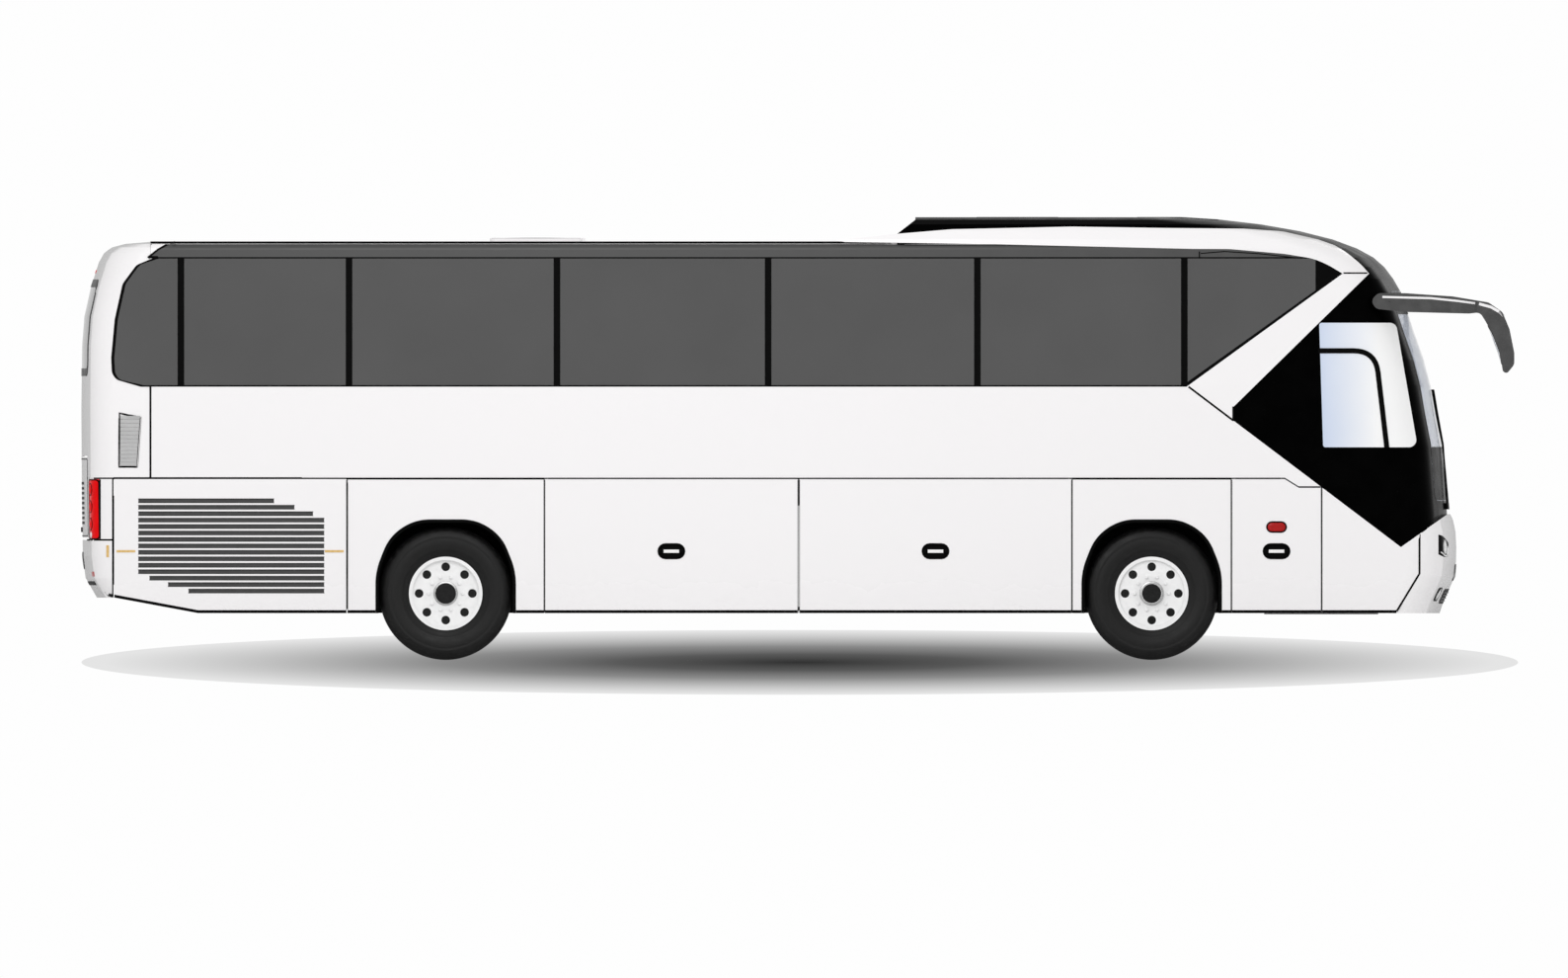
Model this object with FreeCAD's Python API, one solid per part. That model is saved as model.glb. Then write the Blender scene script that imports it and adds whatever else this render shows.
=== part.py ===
import FreeCAD
import Part
import math
import os

# Coach bus, about 11 m long, with its front towards +X, its left side towards +Y and the ground at
# Z 0. The origin is on the ground, under the centre of the overall box (mirrors included).
# All sizes are millimetres.

# Driving dimensions
WHEELBASE = 5720.0
REAR_OVERHANG = 2952.0
FRONT_OVERHANG = 2468.0
BODY_WIDTH = 2550.0
MIRROR_REACH = 470.0
TYRE_R = 538.0
SKIRT_Z = 378.0
BELT_Z = 1470.0
SILL_Z = 2224.0
HEADER_Z = 3250.0
ROOF_Z = 3390.0
FAIRING_Z = 3585.0
FLOOR_Z = 1370.0
TUMBLEHOME = 41.0
WALL_T = 60.0
PANEL_GAP = 12.0
SEAT_GAP = 0.3
OVERRUN = 200.0
GLASS_T = 8.0

# Stations that follow from them
BODY_LENGTH = REAR_OVERHANG + WHEELBASE + FRONT_OVERHANG
HALF_W = BODY_WIDTH / 2
REAR_X = -(BODY_LENGTH + MIRROR_REACH) / 2
NOSE_X = REAR_X + BODY_LENGTH
MIRROR_TIP_X = NOSE_X + MIRROR_REACH
REAR_AXLE_X = REAR_X + REAR_OVERHANG
FRONT_AXLE_X = REAR_AXLE_X + WHEELBASE
WALL_Y = HALF_W - WALL_T

# Panel joints along the side
ARCH_PANEL_HALF = 797.0
FRONT_PANEL_HALF = 643.0
SERVICE_FLAP_LENGTH = 737.0
REAR_CORNER_LENGTH = 260.0
REAR_CAP_LENGTH = 560.0
BAY_SPLIT_SHARE = 0.482
REAR_CORNER_X = REAR_X + REAR_CORNER_LENGTH
REAR_CAP_X = REAR_X + REAR_CAP_LENGTH
REAR_PANEL_X0 = REAR_AXLE_X - ARCH_PANEL_HALF
REAR_PANEL_X1 = REAR_AXLE_X + ARCH_PANEL_HALF
FRONT_PANEL_X0 = FRONT_AXLE_X - FRONT_PANEL_HALF
FRONT_PANEL_X1 = FRONT_AXLE_X + FRONT_PANEL_HALF
BAY_SPLIT_X = REAR_PANEL_X1 + BAY_SPLIT_SHARE * (FRONT_PANEL_X0 - REAR_PANEL_X1)
SERVICE_X1 = FRONT_PANEL_X1 + SERVICE_FLAP_LENGTH

# Wheel arches
ARCH_TOP_Z = 1125.0
ARCH_HALF_LENGTH = 556.0
ARCH_FLAT_HALF_SHARE = 0.44
ARCH_KNEE_SHARE = 0.82
ARCH_KNEE_REACH_SHARE = 0.80
ARCH_FOOT_SHARE = 0.32
SEAM_W = 10.0
SEAM_DEEP = 16.0

# Window band
PILLAR_W = 54.0
BAND_LIP = 12.0
PANE_LAP = 14.0
PANE_GAP = 0.6
FRONT_PANE_FROM_NOSE = 1141.0
FRONT_PANE_X = NOSE_X - FRONT_PANE_FROM_NOSE
FRONT_PANE_LIFT = 10.0
CAB_GLASS_SEAM_FROM_NOSE = 915.0
CAB_GLASS_SEAM_X = NOSE_X - CAB_GLASS_SEAM_FROM_NOSE
SIDE_SPAN = 11140.0
REAR_PILLAR_SHARES = (0.0724, 0.1947, 0.3459)
FRONT_PILLAR_SHARES = (0.4995, 0.6517, 0.8022)
PILLARS_X = ([REAR_X + share * SIDE_SPAN for share in REAR_PILLAR_SHARES]
             + [NOSE_X - (1 - share) * SIDE_SPAN for share in FRONT_PILLAR_SHARES])

# Cab: the diagonal white band, the black mask below it and the windscreen pillar
BAND_FOOT_FROM_NOSE = 2185.0
BAND_FOOT_X = NOSE_X - BAND_FOOT_FROM_NOSE
BAND_TOP_FROM_NOSE = 921.0
BAND_TOP_X = NOSE_X - BAND_TOP_FROM_NOSE
BAND_TOP_WIDTH = 214.0
BAND_TOP_Z = 3128.0
MASK_REAR_FROM_NOSE = 1807.0
MASK_REAR_X = NOSE_X - MASK_REAR_FROM_NOSE
MASK_REAR_TOP_Z = 2048.0
MASK_POINT_FROM_NOSE = 449.0
MASK_POINT_X = NOSE_X - MASK_POINT_FROM_NOSE
MASK_POINT_Z = 913.0
MASK_FRONT_Z = 1180.0
BELT_STEP_FROM_NOSE = 1390.0
BELT_STEP_X = NOSE_X - BELT_STEP_FROM_NOSE
BELT_STEP_LENGTH = 113.0
BELT_STEP = 70.0
BUMPER_FROM_NOSE = 298.0
BUMPER_X = NOSE_X - BUMPER_FROM_NOSE
BUMPER_FOOT_FROM_NOSE = 488.0
BUMPER_FOOT_X = NOSE_X - BUMPER_FOOT_FROM_NOSE
BUMPER_KNEE_Z = 699.0
CAB_GLASS_FROM_NOSE = 1111.0
CAB_GLASS_X = NOSE_X - CAB_GLASS_FROM_NOSE
CAB_GLASS_Z0 = 1722.0
CAB_GLASS_Z1 = 2730.0
CAB_GLASS_FRONT_LOW_FROM_NOSE = 313.0
CAB_GLASS_FRONT_LOW_X = NOSE_X - CAB_GLASS_FRONT_LOW_FROM_NOSE
CAB_GLASS_FRONT_TOP_FROM_NOSE = 488.0
CAB_GLASS_FRONT_TOP_X = NOSE_X - CAB_GLASS_FRONT_TOP_FROM_NOSE
POD_FROM_NOSE = 4530.0
POD_X = NOSE_X - POD_FROM_NOSE
POD_RAMP = 147.0
POD_RAMP_DROP = 20.0

# Front and rear end forms. Each level is a height share, a reach share, a width share and a
# corner share: of the form's height, its depth, the side wall's half width and the corner radius.
CAB_DEPTH = 5033.0
CAB_BOW_R = 5200.0
CAB_CORNER_R = 300.0
CAB_BACK_X = NOSE_X - CAB_DEPTH
CAB_LEVEL_SHARES = (
    (0.0000, 0.9860, 1.000, 1.00),
    (0.1300, 0.9860, 1.000, 1.00),
    (0.2501, 0.9852, 1.000, 1.00),
    (0.3511, 0.9801, 1.000, 1.00),
    (0.4235, 0.9763, 1.000, 1.00),
    (0.5026, 0.9666, 1.000, 1.00),
    (0.5756, 0.9585, 1.000, 1.00),
    (0.6400, 0.9478, 1.000, 1.00),
    (0.7109, 0.9319, 1.000, 1.00),
    (0.8107, 0.9108, 1.000, 1.00),
    (0.8441, 0.8985, 1.000, 1.00),
    (0.8743, 0.8840, 1.000, 1.05),
    (0.8984, 0.8665, 1.000, 1.15),
    (0.9214, 0.8395, 1.000, 1.30),
    (0.9439, 0.8011, 0.996, 1.45),
    (0.9651, 0.7471, 0.979, 1.60),
    (0.9820, 0.6855, 0.949, 1.75),
    (0.9940, 0.6200, 0.890, 1.85),
    (1.0000, 0.5600, 0.780, 1.90),
)
BUMPER_LEVEL_SHARES = (
    (0.0000, 0.9730, 1.000, 1.00),
    (0.0318, 0.9800, 1.000, 1.00),
    (0.0692, 0.9910, 1.000, 1.00),
    (0.0942, 0.9975, 1.000, 1.00),
    (0.1316, 0.9996, 1.000, 1.00),
    (0.1668, 1.0000, 1.000, 1.00),
    (0.2058, 0.9988, 1.000, 1.00),
    (0.2345, 0.9950, 1.000, 1.00),
    (0.2550, 0.9890, 1.000, 1.00),
    (0.3300, 0.9760, 1.000, 1.00),
)

TAIL_DEPTH = 1200.0
TAIL_BOW_R = 9000.0
TAIL_CORNER_R = 190.0
TAIL_FRONT_X = REAR_X + TAIL_DEPTH
TAIL_LEVEL_SHARES = (
    (0.0000, 0.8330, 1.000, 1.00),
    (0.0340, 0.8830, 1.000, 1.00),
    (0.0710, 0.9370, 1.000, 1.00),
    (0.0956, 0.9720, 1.000, 1.00),
    (0.1530, 0.9900, 1.000, 1.00),
    (0.3630, 0.9970, 1.000, 1.00),
    (0.5490, 1.0000, 1.000, 1.00),
    (0.7190, 0.9950, 1.000, 1.00),
    (0.7970, 0.9800, 1.000, 1.05),
    (0.8760, 0.9360, 1.000, 1.20),
    (0.9430, 0.8820, 1.000, 1.35),
    (0.9680, 0.8470, 1.000, 1.45),
    (0.9760, 0.8210, 1.000, 1.50),
    (0.9837, 0.7925, 0.996, 1.50),
    (0.9930, 0.7030, 0.977, 1.50),
    (1.0000, 0.4900, 0.600, 1.50),
)

# Roof edges
SHOULDER_R = 60.0
CROWN = 12.0
COVE_TOP_Z = 3366.0
CHEEK_INNER_Y = 1000.0
ROOF_EDGE_R = 700.0
CHEEK_TOP_SHARES = (
    (0.5482, 0.9411), (0.5933, 0.9581), (0.6328, 0.9696), (0.7207, 0.9763), (0.7882, 0.9728),
    (0.8456, 0.9711), (0.8717, 0.9651), (0.8926, 0.9541), (0.9065, 0.9396), (0.9204, 0.9107),
    (0.9309, 0.8803),
)
CHEEK_LOW_SHARES = (
    (0.9065, 0.8803), (0.8961, 0.8955), (0.8750, 0.9075), (0.8351, 0.9197), (0.8086, 0.9200),
    (0.6503, 0.9329), (0.5558, 0.9374),
)

# Wheels and hubs
TYRE_W = 295.0
BEAD_R = 284.0
TYRE_PROFILE_SHARES = (
    (0.72, 0.00), (0.86, 0.12), (1.00, 0.46), (0.96, 0.80), (0.80, 1.00),
)
TYRE_CAVITY_SHARES = ((0.60, 0.00), (0.80, 0.44), (0.66, 0.86))
RIM_R = 298.0
RIM_W = 256.0
RIM_T = 14.0
RIM_FLANGE = 12.0
WELL_R = 246.0
WELL_HALF = 44.0
WELL_RAMP = 18.0
DISC_T = 16.0
DISC_FOOT = 68.0
DISC_FACE = 92.0
DISC_FACE_R = 258.0
TWIN_DISC_FACE_R = 180.0
HAND_HOLE_R = 35.0
HAND_HOLE_CIRCLE_R = 216.0
HAND_HOLES = 8
HUB_R = 112.0
HUB_CAP_R = 82.0
HUB_CAP_L = 52.0
HUB_BACK = 60.0
FRONT_TRACK_HALF = 1052.0
REAR_TRACK_HALF = 1062.0
TWIN_SPACING = 335.0
SPINDLE_R = 45.0
REAR_SPINDLE_R = 60.0
SHAFT_CLEARANCE = 0.5

# Front axle and steering
KINGPIN_Y = 860.0
KINGPIN_R = 26.0
EYE_R = 48.0
EYE_HALF = 75.0
LUG_T = 30.0
LUG_REACH = 92.0
LUG_GAP = 0.6
YOKE_T = 36.0
BEAM_HALF_W = 45.0
BEAM_LOW_Z = 350.0
BEAM_TOP_Z = 450.0
BEAM_BEND_Y = 640.0
BEAM_RISE_Y = 770.0

# Rear axle and springs
AXLE_TUBE_R = 80.0
AXLE_HALF = 560.0
DIFF_R = 190.0
DIFF_W = 300.0
SPRING_R = 92.0
SPRING_OFFSET = 420.0
SPRING_ARM_T = 58.0
SPRING_ARM_HALF = 520.0

# Underframe
RAIL_Y = 430.0
RAIL_W = 70.0
RAIL_Z0 = 700.0
RAIL_H = 160.0
CROSS_W = 80.0
DECK_T = 40.0
RAIL_REAR = 260.0
RAIL_FRONT_FROM_NOSE = 1595.0
RAIL_FRONT_X = NOSE_X - RAIL_FRONT_FROM_NOSE
NOSE_FRAME_FROM_NOSE = 420.0
NOSE_FRAME_X = NOSE_X - NOSE_FRAME_FROM_NOSE
NOSE_FRAME_LEFT_Y = 60.0
NOSE_CROSS_HALF = 1100.0
BULKHEAD_BACK = 665.0
HOUSING_T = 10.0
HOUSING_TOP_Z = 1160.0
HOUSING_FOOT_Z = 440.0
HOUSING_LEG = 70.0
REAR_HOUSING_HALF = 600.0
FRONT_HOUSING_REACH = 653.0
BULKHEAD_T = 30.0
BAY_FLOOR_Z = 400.0
BAY_FLOOR_T = 30.0
BAY_SIDE_GAP = 10.0
PAD_R = 34.0
PAD_H = 40.0
PAD_BACK = 90.0
LUG_PLATE_T = 25.0
LUG_PLATE_W = 120.0
LUG_PLATE_L = 190.0
LUG_BORE_R = 21.0
LUG_EDGE = 45.0
FRONT_LUG_Z = 400.0
REAR_LUG_Z = 610.0
LUG_POST = 60.0
LUG_NOTCH = 20.0

# Floors and steps
SILL_BEAM_T = 50.0
SILL_BEAM_TOP_Z = 1540.0
CAB_FLOOR_Z = 1060.0
CAB_FLOOR_T = 30.0
RISER_FROM_NOSE = 1775.0
RISER_X = NOSE_X - RISER_FROM_NOSE
DASH_FLOOR_FROM_NOSE = 235.0
DASH_FLOOR_X = NOSE_X - DASH_FLOOR_FROM_NOSE
DECK_FROM_TAIL = 285.0
DECK_REAR_X = REAR_X + DECK_FROM_TAIL
HUMP_T = 30.0
HUMP_Z = 1760.0
STEP_T = 30.0
STEP_LOW_Z = 400.0
STEP_RISE = 220.0
STEP_GOING = 290.0
STEP_Y0 = 140.0
STEP_Y1 = 1205.0

# Entrance door, on the left ahead of the front wheel
DOOR_REAR_FROM_NOSE = 1545.0
DOOR_X0 = NOSE_X - DOOR_REAR_FROM_NOSE
DOOR_FRONT_FROM_NOSE = 645.0
DOOR_X1 = NOSE_X - DOOR_FRONT_FROM_NOSE
DOOR_Z0 = 392.0
DOOR_Z1 = 2640.0
DOOR_R = 60.0
DOOR_RAIL = 85.0
DOOR_MID_Z0 = 1040.0
DOOR_MID_Z1 = 1180.0
DOOR_GAP = 12.0
ARM_L = 560.0
ARM_Y = 1130.0
ARM_BACK = 70.0
ARM_Z = 1120.0
ARM_H = 40.0
ARM_W = 30.0
POST_R = 22.0
POST_TOP_Z = 1210.0
SLEEVE_R = 34.0
DOOR_PIN_R = 12.0
DOOR_EYE_R = 26.0
DOOR_LUG_W = 60.0
DOOR_LUG_T = 50.0

# Flaps, doors and lids
FLAP_T = 40.0
FLAP_SKIN = 14.0
FLAP_RIB = 60.0
HINGE_R = 5.5
HINGE_END = 30.0
HINGE_WEB = 10.0
HANDLE_W = 216.0
HANDLE_H = 120.0
HANDLE_DEEP = 22.0
HANDLE_BAR_H = 26.0
HANDLE_Z = 880.0
LAMP_Z = 1076.0
LAMP_W = 163.0
LAMP_H = 88.0
LAMP_DEEP = 8.0
TAIL_SWEEP_X = 946.0
TAIL_SWEEP_Z = 504.0
GRILLE_REAR = 202.0
GRILLE_FRONT = 188.0
GRILLE_TOP_Z = 1304.0
GRILLE_PITCH = 52.2
GRILLE_SLOT = 31.0
GRILLE_SLOTS = 15
GRILLE_END_SHARES = (0.27, 0.16, 0.06)
ENGINE_LID_HALF = 930.0
ENGINE_LID_Z0 = 990.0
ENGINE_LID_Z1 = 1640.0
ENGINE_LID_R = 50.0
LID_HINGE_Y = 260.0
LID_HINGE_L = 160.0
HATCH_FROM_TAIL = 3305.0
HATCH_X = REAR_X + HATCH_FROM_TAIL
HATCH_L = 760.0
HATCH_HALF = 330.0
HATCH_R = 60.0
HATCH_LIP = 24.0
HATCH_HINGE_Y = 180.0

# Rear end
BUMPER_TOP_Z = 972.0
TAIL_LAMP_Z0 = 974.0
TAIL_LAMP_Z1 = 1464.0
TAIL_LAMP_X = 147.0
TAIL_LAMP_Y = 1010.0
TAIL_LAMP_T = 30.0
TAIL_LAMP_R = 40.0
REAR_GLASS_HALF = 960.0
REAR_GLASS_Z0 = 2300.0
REAR_GLASS_Z1 = 3080.0
REAR_GLASS_R = 120.0
VENT_X = 303.0
VENT_W = 178.0
VENT_Z0 = 1554.0
VENT_Z1 = 2009.0
VENT_DEEP = 14.0
VENT_LEAN_SHARES = (0.0, 0.13, 0.10)
QUARTER_LENGTH = 512.0
QUARTER_SHARES = (
    (0.53, 0.00), (0.925, 0.045), (0.990, 0.10), (1.00, 0.22), (0.945, 0.52), (0.82, 0.80),
    (0.60, 0.95), (0.30, 1.00),
)
QUARTER_EDGE_R = 90.0
QUARTER_FRAME = 26.0

# Front end
SCREEN_HALF = 955.0
SCREEN_Z0 = 1290.0
SCREEN_TOP_Z = 2985.0
SCREEN_R = 110.0
MASK_NOSE_FROM_NOSE = 71.0
MASK_NOSE_X = NOSE_X - MASK_NOSE_FROM_NOSE
CAB_GLASS_RAKE = 32.0
CAB_GLASS_R = 60.0
HEADLAMP_OUTER_Y = 1262.0
HEADLAMP_INNER_Y = 800.0
HEADLAMP_Z0 = 824.0
HEADLAMP_Z1 = 1049.0
HEADLAMP_FROM_NOSE = 145.0
HEADLAMP_X = NOSE_X - HEADLAMP_FROM_NOSE
HEADLAMP_T = 34.0
WIPER_OFFSET = 12.0
WIPER_T = 14.0
WIPER_W = 26.0
WIPER_L = 860.0
WIPER_Y = 380.0
WIPER_LEFT_Y = 230.0
WIPER_LEAN = 180.0
WIPER_Z = 1330.0
WIPER_FOOT_Z = 1245.0
MIRROR_ARM_Y = 1225.0
MIRROR_ARM_W = 66.0
MIRROR_FOOT_X = 120.0
MIRROR_HEAD_Y = 1130.0
MIRROR_HEAD_W = 270.0
MIRROR_FROM_NOSE = 692.0
MIRROR_X = NOSE_X - MIRROR_FROM_NOSE
MIRROR_SPLIT_SHARE = 0.74
MIRROR_H = 650.0
MIRROR_TOP_Z = 2970.0
MIRROR_SHARES = (
    (0.000, 0.09), (0.050, 0.00), (0.240, 0.00), (0.570, 0.04), (0.820, 0.115), (0.917, 0.235),
    (0.967, 0.45), (1.000, 0.745), (1.000, 0.89), (0.950, 1.00), (0.920, 0.98), (0.900, 0.745),
    (0.850, 0.51), (0.792, 0.33), (0.760, 0.24), (0.683, 0.255), (0.240, 0.235), (0.035, 0.195),
)
MIRROR_EDGE_R = 60.0

# Cabin
SEAT_PITCH = 790.0
SEAT_FIRST_FROM_NOSE = 2375.0
SEAT_FIRST_X = NOSE_X - SEAT_FIRST_FROM_NOSE
SEAT_ROWS = int((SEAT_FIRST_X - DECK_REAR_X) // SEAT_PITCH)
SEAT_INNER_Y = 330.0
SEAT_OUTER_Y = 1160.0
SEAT_BASE_H = 300.0
SEAT_BASE_L = 300.0
SEAT_CUSHION_T = 140.0
SEAT_CUSHION_L = 460.0
SEAT_BACK_H = 1120.0
SEAT_BACK_T = 110.0
SEAT_BACK_LEAN = 150.0
SEAT_EDGE_R = 40.0
DRIVER_FROM_NOSE = 1185.0
DRIVER_X = NOSE_X - DRIVER_FROM_NOSE
DRIVER_Y = -600.0
DRIVER_HALF = 260.0
DASH_FROM_NOSE = 695.0
DASH_X0 = NOSE_X - DASH_FROM_NOSE
DASH_TOP_Z = 1600.0
DASH_HALF = 1090.0
DASH_FACE = 160.0
DASH_NOSE_FROM_NOSE = 205.0
DASH_NOSE_X = NOSE_X - DASH_NOSE_FROM_NOSE
DASH_DROP = 90.0
COLUMN_R = 30.0
COLUMN_L = 260.0
COLUMN_LEAN_SHARE = 0.62
WHEEL_RING_R = 225.0
WHEEL_RING_T = 15.0
SPOKE_W = 30.0
RACK_Z0 = 3262.0
RACK_T = 24.0
RACK_DEEP = 400.0
RACK_LIP = 40.0
RACK_END = 200.0

# Engine bay
ENGINE_L = 1350.0
ENGINE_H = 780.0
ENGINE_Z0 = 500.0
GEARBOX_L = 640.0
GEARBOX_HALF = 190.0
GEARBOX_H = 380.0
RADIATOR_T = 110.0
RADIATOR_L = 1250.0
RADIATOR_H = 700.0
RADIATOR_IN = 110.0

FRONT = 1.0
REAR = -1.0
RIGHT = -1.0
LEFT = 1.0
BODY_HEIGHT = FAIRING_Z - SKIRT_Z
HALF_GAP = PANEL_GAP / 2
BAY_X0 = REAR_AXLE_X + BULKHEAD_BACK
BAY_X1 = FRONT_AXLE_X - BULKHEAD_BACK
BAND_REAR_X = BAND_TOP_X + BAND_TOP_WIDTH

V = FreeCAD.Vector
ORIGIN = V(0, 0, 0)
ALONG_X = V(1, 0, 0)
ALONG_Y = V(0, 1, 0)
ALONG_Z = V(0, 0, 1)


# Drawing helpers

def corner_arc(before, corner, after, radius):
    """The start, middle and end of the arc that rounds a corner of a flat outline."""
    ax, ay = before[0] - corner[0], before[1] - corner[1]
    bx, by = after[0] - corner[0], after[1] - corner[1]
    la, lb = math.hypot(ax, ay), math.hypot(bx, by)
    ax, ay, bx, by = ax / la, ay / la, bx / lb, by / lb
    half = math.acos(max(-1.0, min(1.0, ax * bx + ay * by))) / 2
    reach = min(radius / math.tan(half), 0.49 * la, 0.49 * lb)
    r = reach * math.tan(half)
    mx, my = ax + bx, ay + by
    ml = math.hypot(mx, my)
    to_mid = r / math.sin(half) - r
    start = (corner[0] + ax * reach, corner[1] + ay * reach)
    middle = (corner[0] + mx / ml * to_mid, corner[1] + my / ml * to_mid)
    end = (corner[0] + bx * reach, corner[1] + by * reach)
    return start, middle, end


def wire(points, place):
    """A closed wire through (u, v) or (u, v, corner radius) points, put in space by place(u, v)."""
    n = len(points)
    runs = []
    for i, p in enumerate(points):
        if len(p) > 2 and p[2] > 0:
            runs.append(corner_arc(points[i - 1], p, points[(i + 1) % n], p[2]))
        else:
            runs.append((p[:2],))
    edges = []
    for i, run in enumerate(runs):
        if len(run) == 3:
            edges.append(Part.Arc(*[place(*q) for q in run]).toShape())
        here, there = place(*run[-1]), place(*runs[(i + 1) % n][0])
        if here.distanceToPoint(there) > 1e-6:
            edges.append(Part.LineSegment(here, there).toShape())
    return Part.Wire(edges)


def prism_y(points, y0, y1):
    """An (x, z) outline, carried from y0 to y1."""
    face = Part.Face(wire(points, lambda u, v: V(u, y0, v)))
    return face.extrude(V(0, y1 - y0, 0))


def prism_x(points, x0, x1):
    """A (y, z) outline, carried from x0 to x1."""
    face = Part.Face(wire(points, lambda u, v: V(x0, u, v)))
    return face.extrude(V(x1 - x0, 0, 0))


def prism_z(points, z0, z1):
    """An (x, y) outline, carried from z0 to z1."""
    face = Part.Face(wire(points, lambda u, v: V(u, v, z0)))
    return face.extrude(V(0, 0, z1 - z0))


def box(x0, x1, y0, y1, z0, z1):
    low = V(min(x0, x1), min(y0, y1), min(z0, z1))
    return Part.makeBox(abs(x1 - x0), abs(y1 - y0), abs(z1 - z0), low)


def rod(radius, start, end):
    """A round bar between two points."""
    along = end - start
    return Part.makeCylinder(radius, along.Length, start, along)


def turned(points, centre, axis):
    """A (distance along the axis, radius) outline turned about the axis through the centre."""
    across_axis = ALONG_Z if abs(axis.dot(ALONG_Z)) < 0.5 else ALONG_X
    face = Part.Face(wire(points, lambda u, v: centre + axis * u + across_axis * v))
    return face.revolve(centre, axis, 360)


def mirrored(shape):
    """The same piece on the other side of the coach."""
    return shape.mirror(ORIGIN, ALONG_Y)


def union(shapes):
    shapes = list(shapes)
    return shapes[0] if len(shapes) == 1 else shapes[0].fuse(shapes[1:]).removeSplitter()


def rect(u0, u1, v0, v1, r=0.0):
    return [(u0, v0, r), (u1, v0, r), (u1, v1, r), (u0, v1, r)]


def rounded(points, r):
    return [(p[0], p[1], r) for p in points]


def side_points(shares):
    """Side-view points from shares of the side's span, kept from the nose, and of the body's height."""
    return [(NOSE_X - (1 - sx) * SIDE_SPAN, SKIRT_Z + sz * BODY_HEIGHT) for sx, sz in shares]


def export(name, *shapes):
    solids = [s for shape in shapes for s in shape.Solids]
    if not solids:
        raise ValueError(name + " has no solid")
    shape = solids[0] if len(solids) == 1 else Part.makeCompound(solids)
    shape.exportStep(os.path.join("parts", name + ".step"))


# Body forms

def side_y(z, inset=0.0):
    """The half width of the side wall at a height: above the sill it leans in."""
    lean = TUMBLEHOME * max(0.0, z - SILL_Z) / (ROOF_Z - SILL_Z)
    return HALF_W - lean - inset


def section(inset=0.0):
    """The cross-section of the low roof's body as a closed (y, z) outline, taken in by inset."""
    edge_z = ROOF_Z - CROWN - inset
    foot_z = SKIRT_Z - OVERRUN
    half_top = side_y(edge_z, inset)
    left = [
        (half_top, edge_z, SHOULDER_R - inset / 2),
        (side_y(SILL_Z, inset), SILL_Z),
        (side_y(foot_z, inset), foot_z),
    ]
    right = [(-p[0],) + p[1:] for p in reversed(left)]
    return right + [(0, ROOF_Z - inset)] + left


def waterline(x_back, facing, reach, z, half_width, bow_r, corner_r):
    """A closed plan outline: square at x_back, bowed with round corners at its far end."""
    bow = reach - bow_r
    centre_y = half_width - corner_r
    centre_u = bow + math.sqrt((bow_r - corner_r) ** 2 - centre_y ** 2)
    nx, ny = (centre_u - bow) / (bow_r - corner_r), centre_y / (bow_r - corner_r)
    mx, my = nx, ny + 1.0
    ml = math.hypot(mx, my)
    tangent = (bow + nx * bow_r, ny * bow_r)
    middle = (centre_u + corner_r * mx / ml, centre_y + corner_r * my / ml)

    def at(u, y):
        return V(x_back + facing * u, y, z)

    back_right, back_left = at(0, -half_width), at(0, half_width)
    side_right, side_left = at(centre_u, -half_width), at(centre_u, half_width)
    edges = [
        Part.LineSegment(back_right, side_right).toShape(),
        Part.Arc(side_right, at(middle[0], -middle[1]), at(tangent[0], -tangent[1])).toShape(),
        Part.Arc(at(tangent[0], -tangent[1]), at(reach, 0), at(*tangent)).toShape(),
        Part.Arc(at(*tangent), at(*middle), side_left).toShape(),
        Part.LineSegment(side_left, back_left).toShape(),
        Part.LineSegment(back_left, back_right).toShape(),
    ]
    return Part.Wire(edges)


def end_form(x_back, facing, depth, levels, top_z, bow_r, corner_r, inset):
    """A lofted end of the body, taken in by inset at its nose, sides and top."""
    height = top_z - SKIRT_Z
    wires = []
    for height_share, reach_share, width_share, corner_share in levels:
        z = SKIRT_Z + (height - inset) * height_share
        reach = (depth - inset) * reach_share
        width = side_y(z + inset * height_share) * width_share - inset
        wires.append(waterline(x_back, facing, reach, z, width, bow_r, corner_r * corner_share - inset / 2))
    return Part.makeLoft(wires, True, True)


CAB_GLASS_LEVELS = CAB_LEVEL_SHARES[1:13]
CAB_WIPER_LEVELS = CAB_LEVEL_SHARES[1:9]
TAIL_GLASS_LEVELS = TAIL_LEVEL_SHARES[4:12]
TAIL_SKIN_LEVELS = TAIL_LEVEL_SHARES[2:8]


def cab_form(inset=0.0, levels=CAB_LEVEL_SHARES):
    return end_form(CAB_BACK_X, FRONT, CAB_DEPTH, levels, FAIRING_Z, CAB_BOW_R, CAB_CORNER_R, inset)


def bumper_form(inset=0.0):
    return end_form(CAB_BACK_X, FRONT, CAB_DEPTH, BUMPER_LEVEL_SHARES, FAIRING_Z, CAB_BOW_R, CAB_CORNER_R,
                    inset)


def tail_form(inset=0.0, levels=TAIL_LEVEL_SHARES):
    return end_form(TAIL_FRONT_X, REAR, TAIL_DEPTH, levels, ROOF_Z, TAIL_BOW_R, TAIL_CORNER_R, inset)


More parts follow.
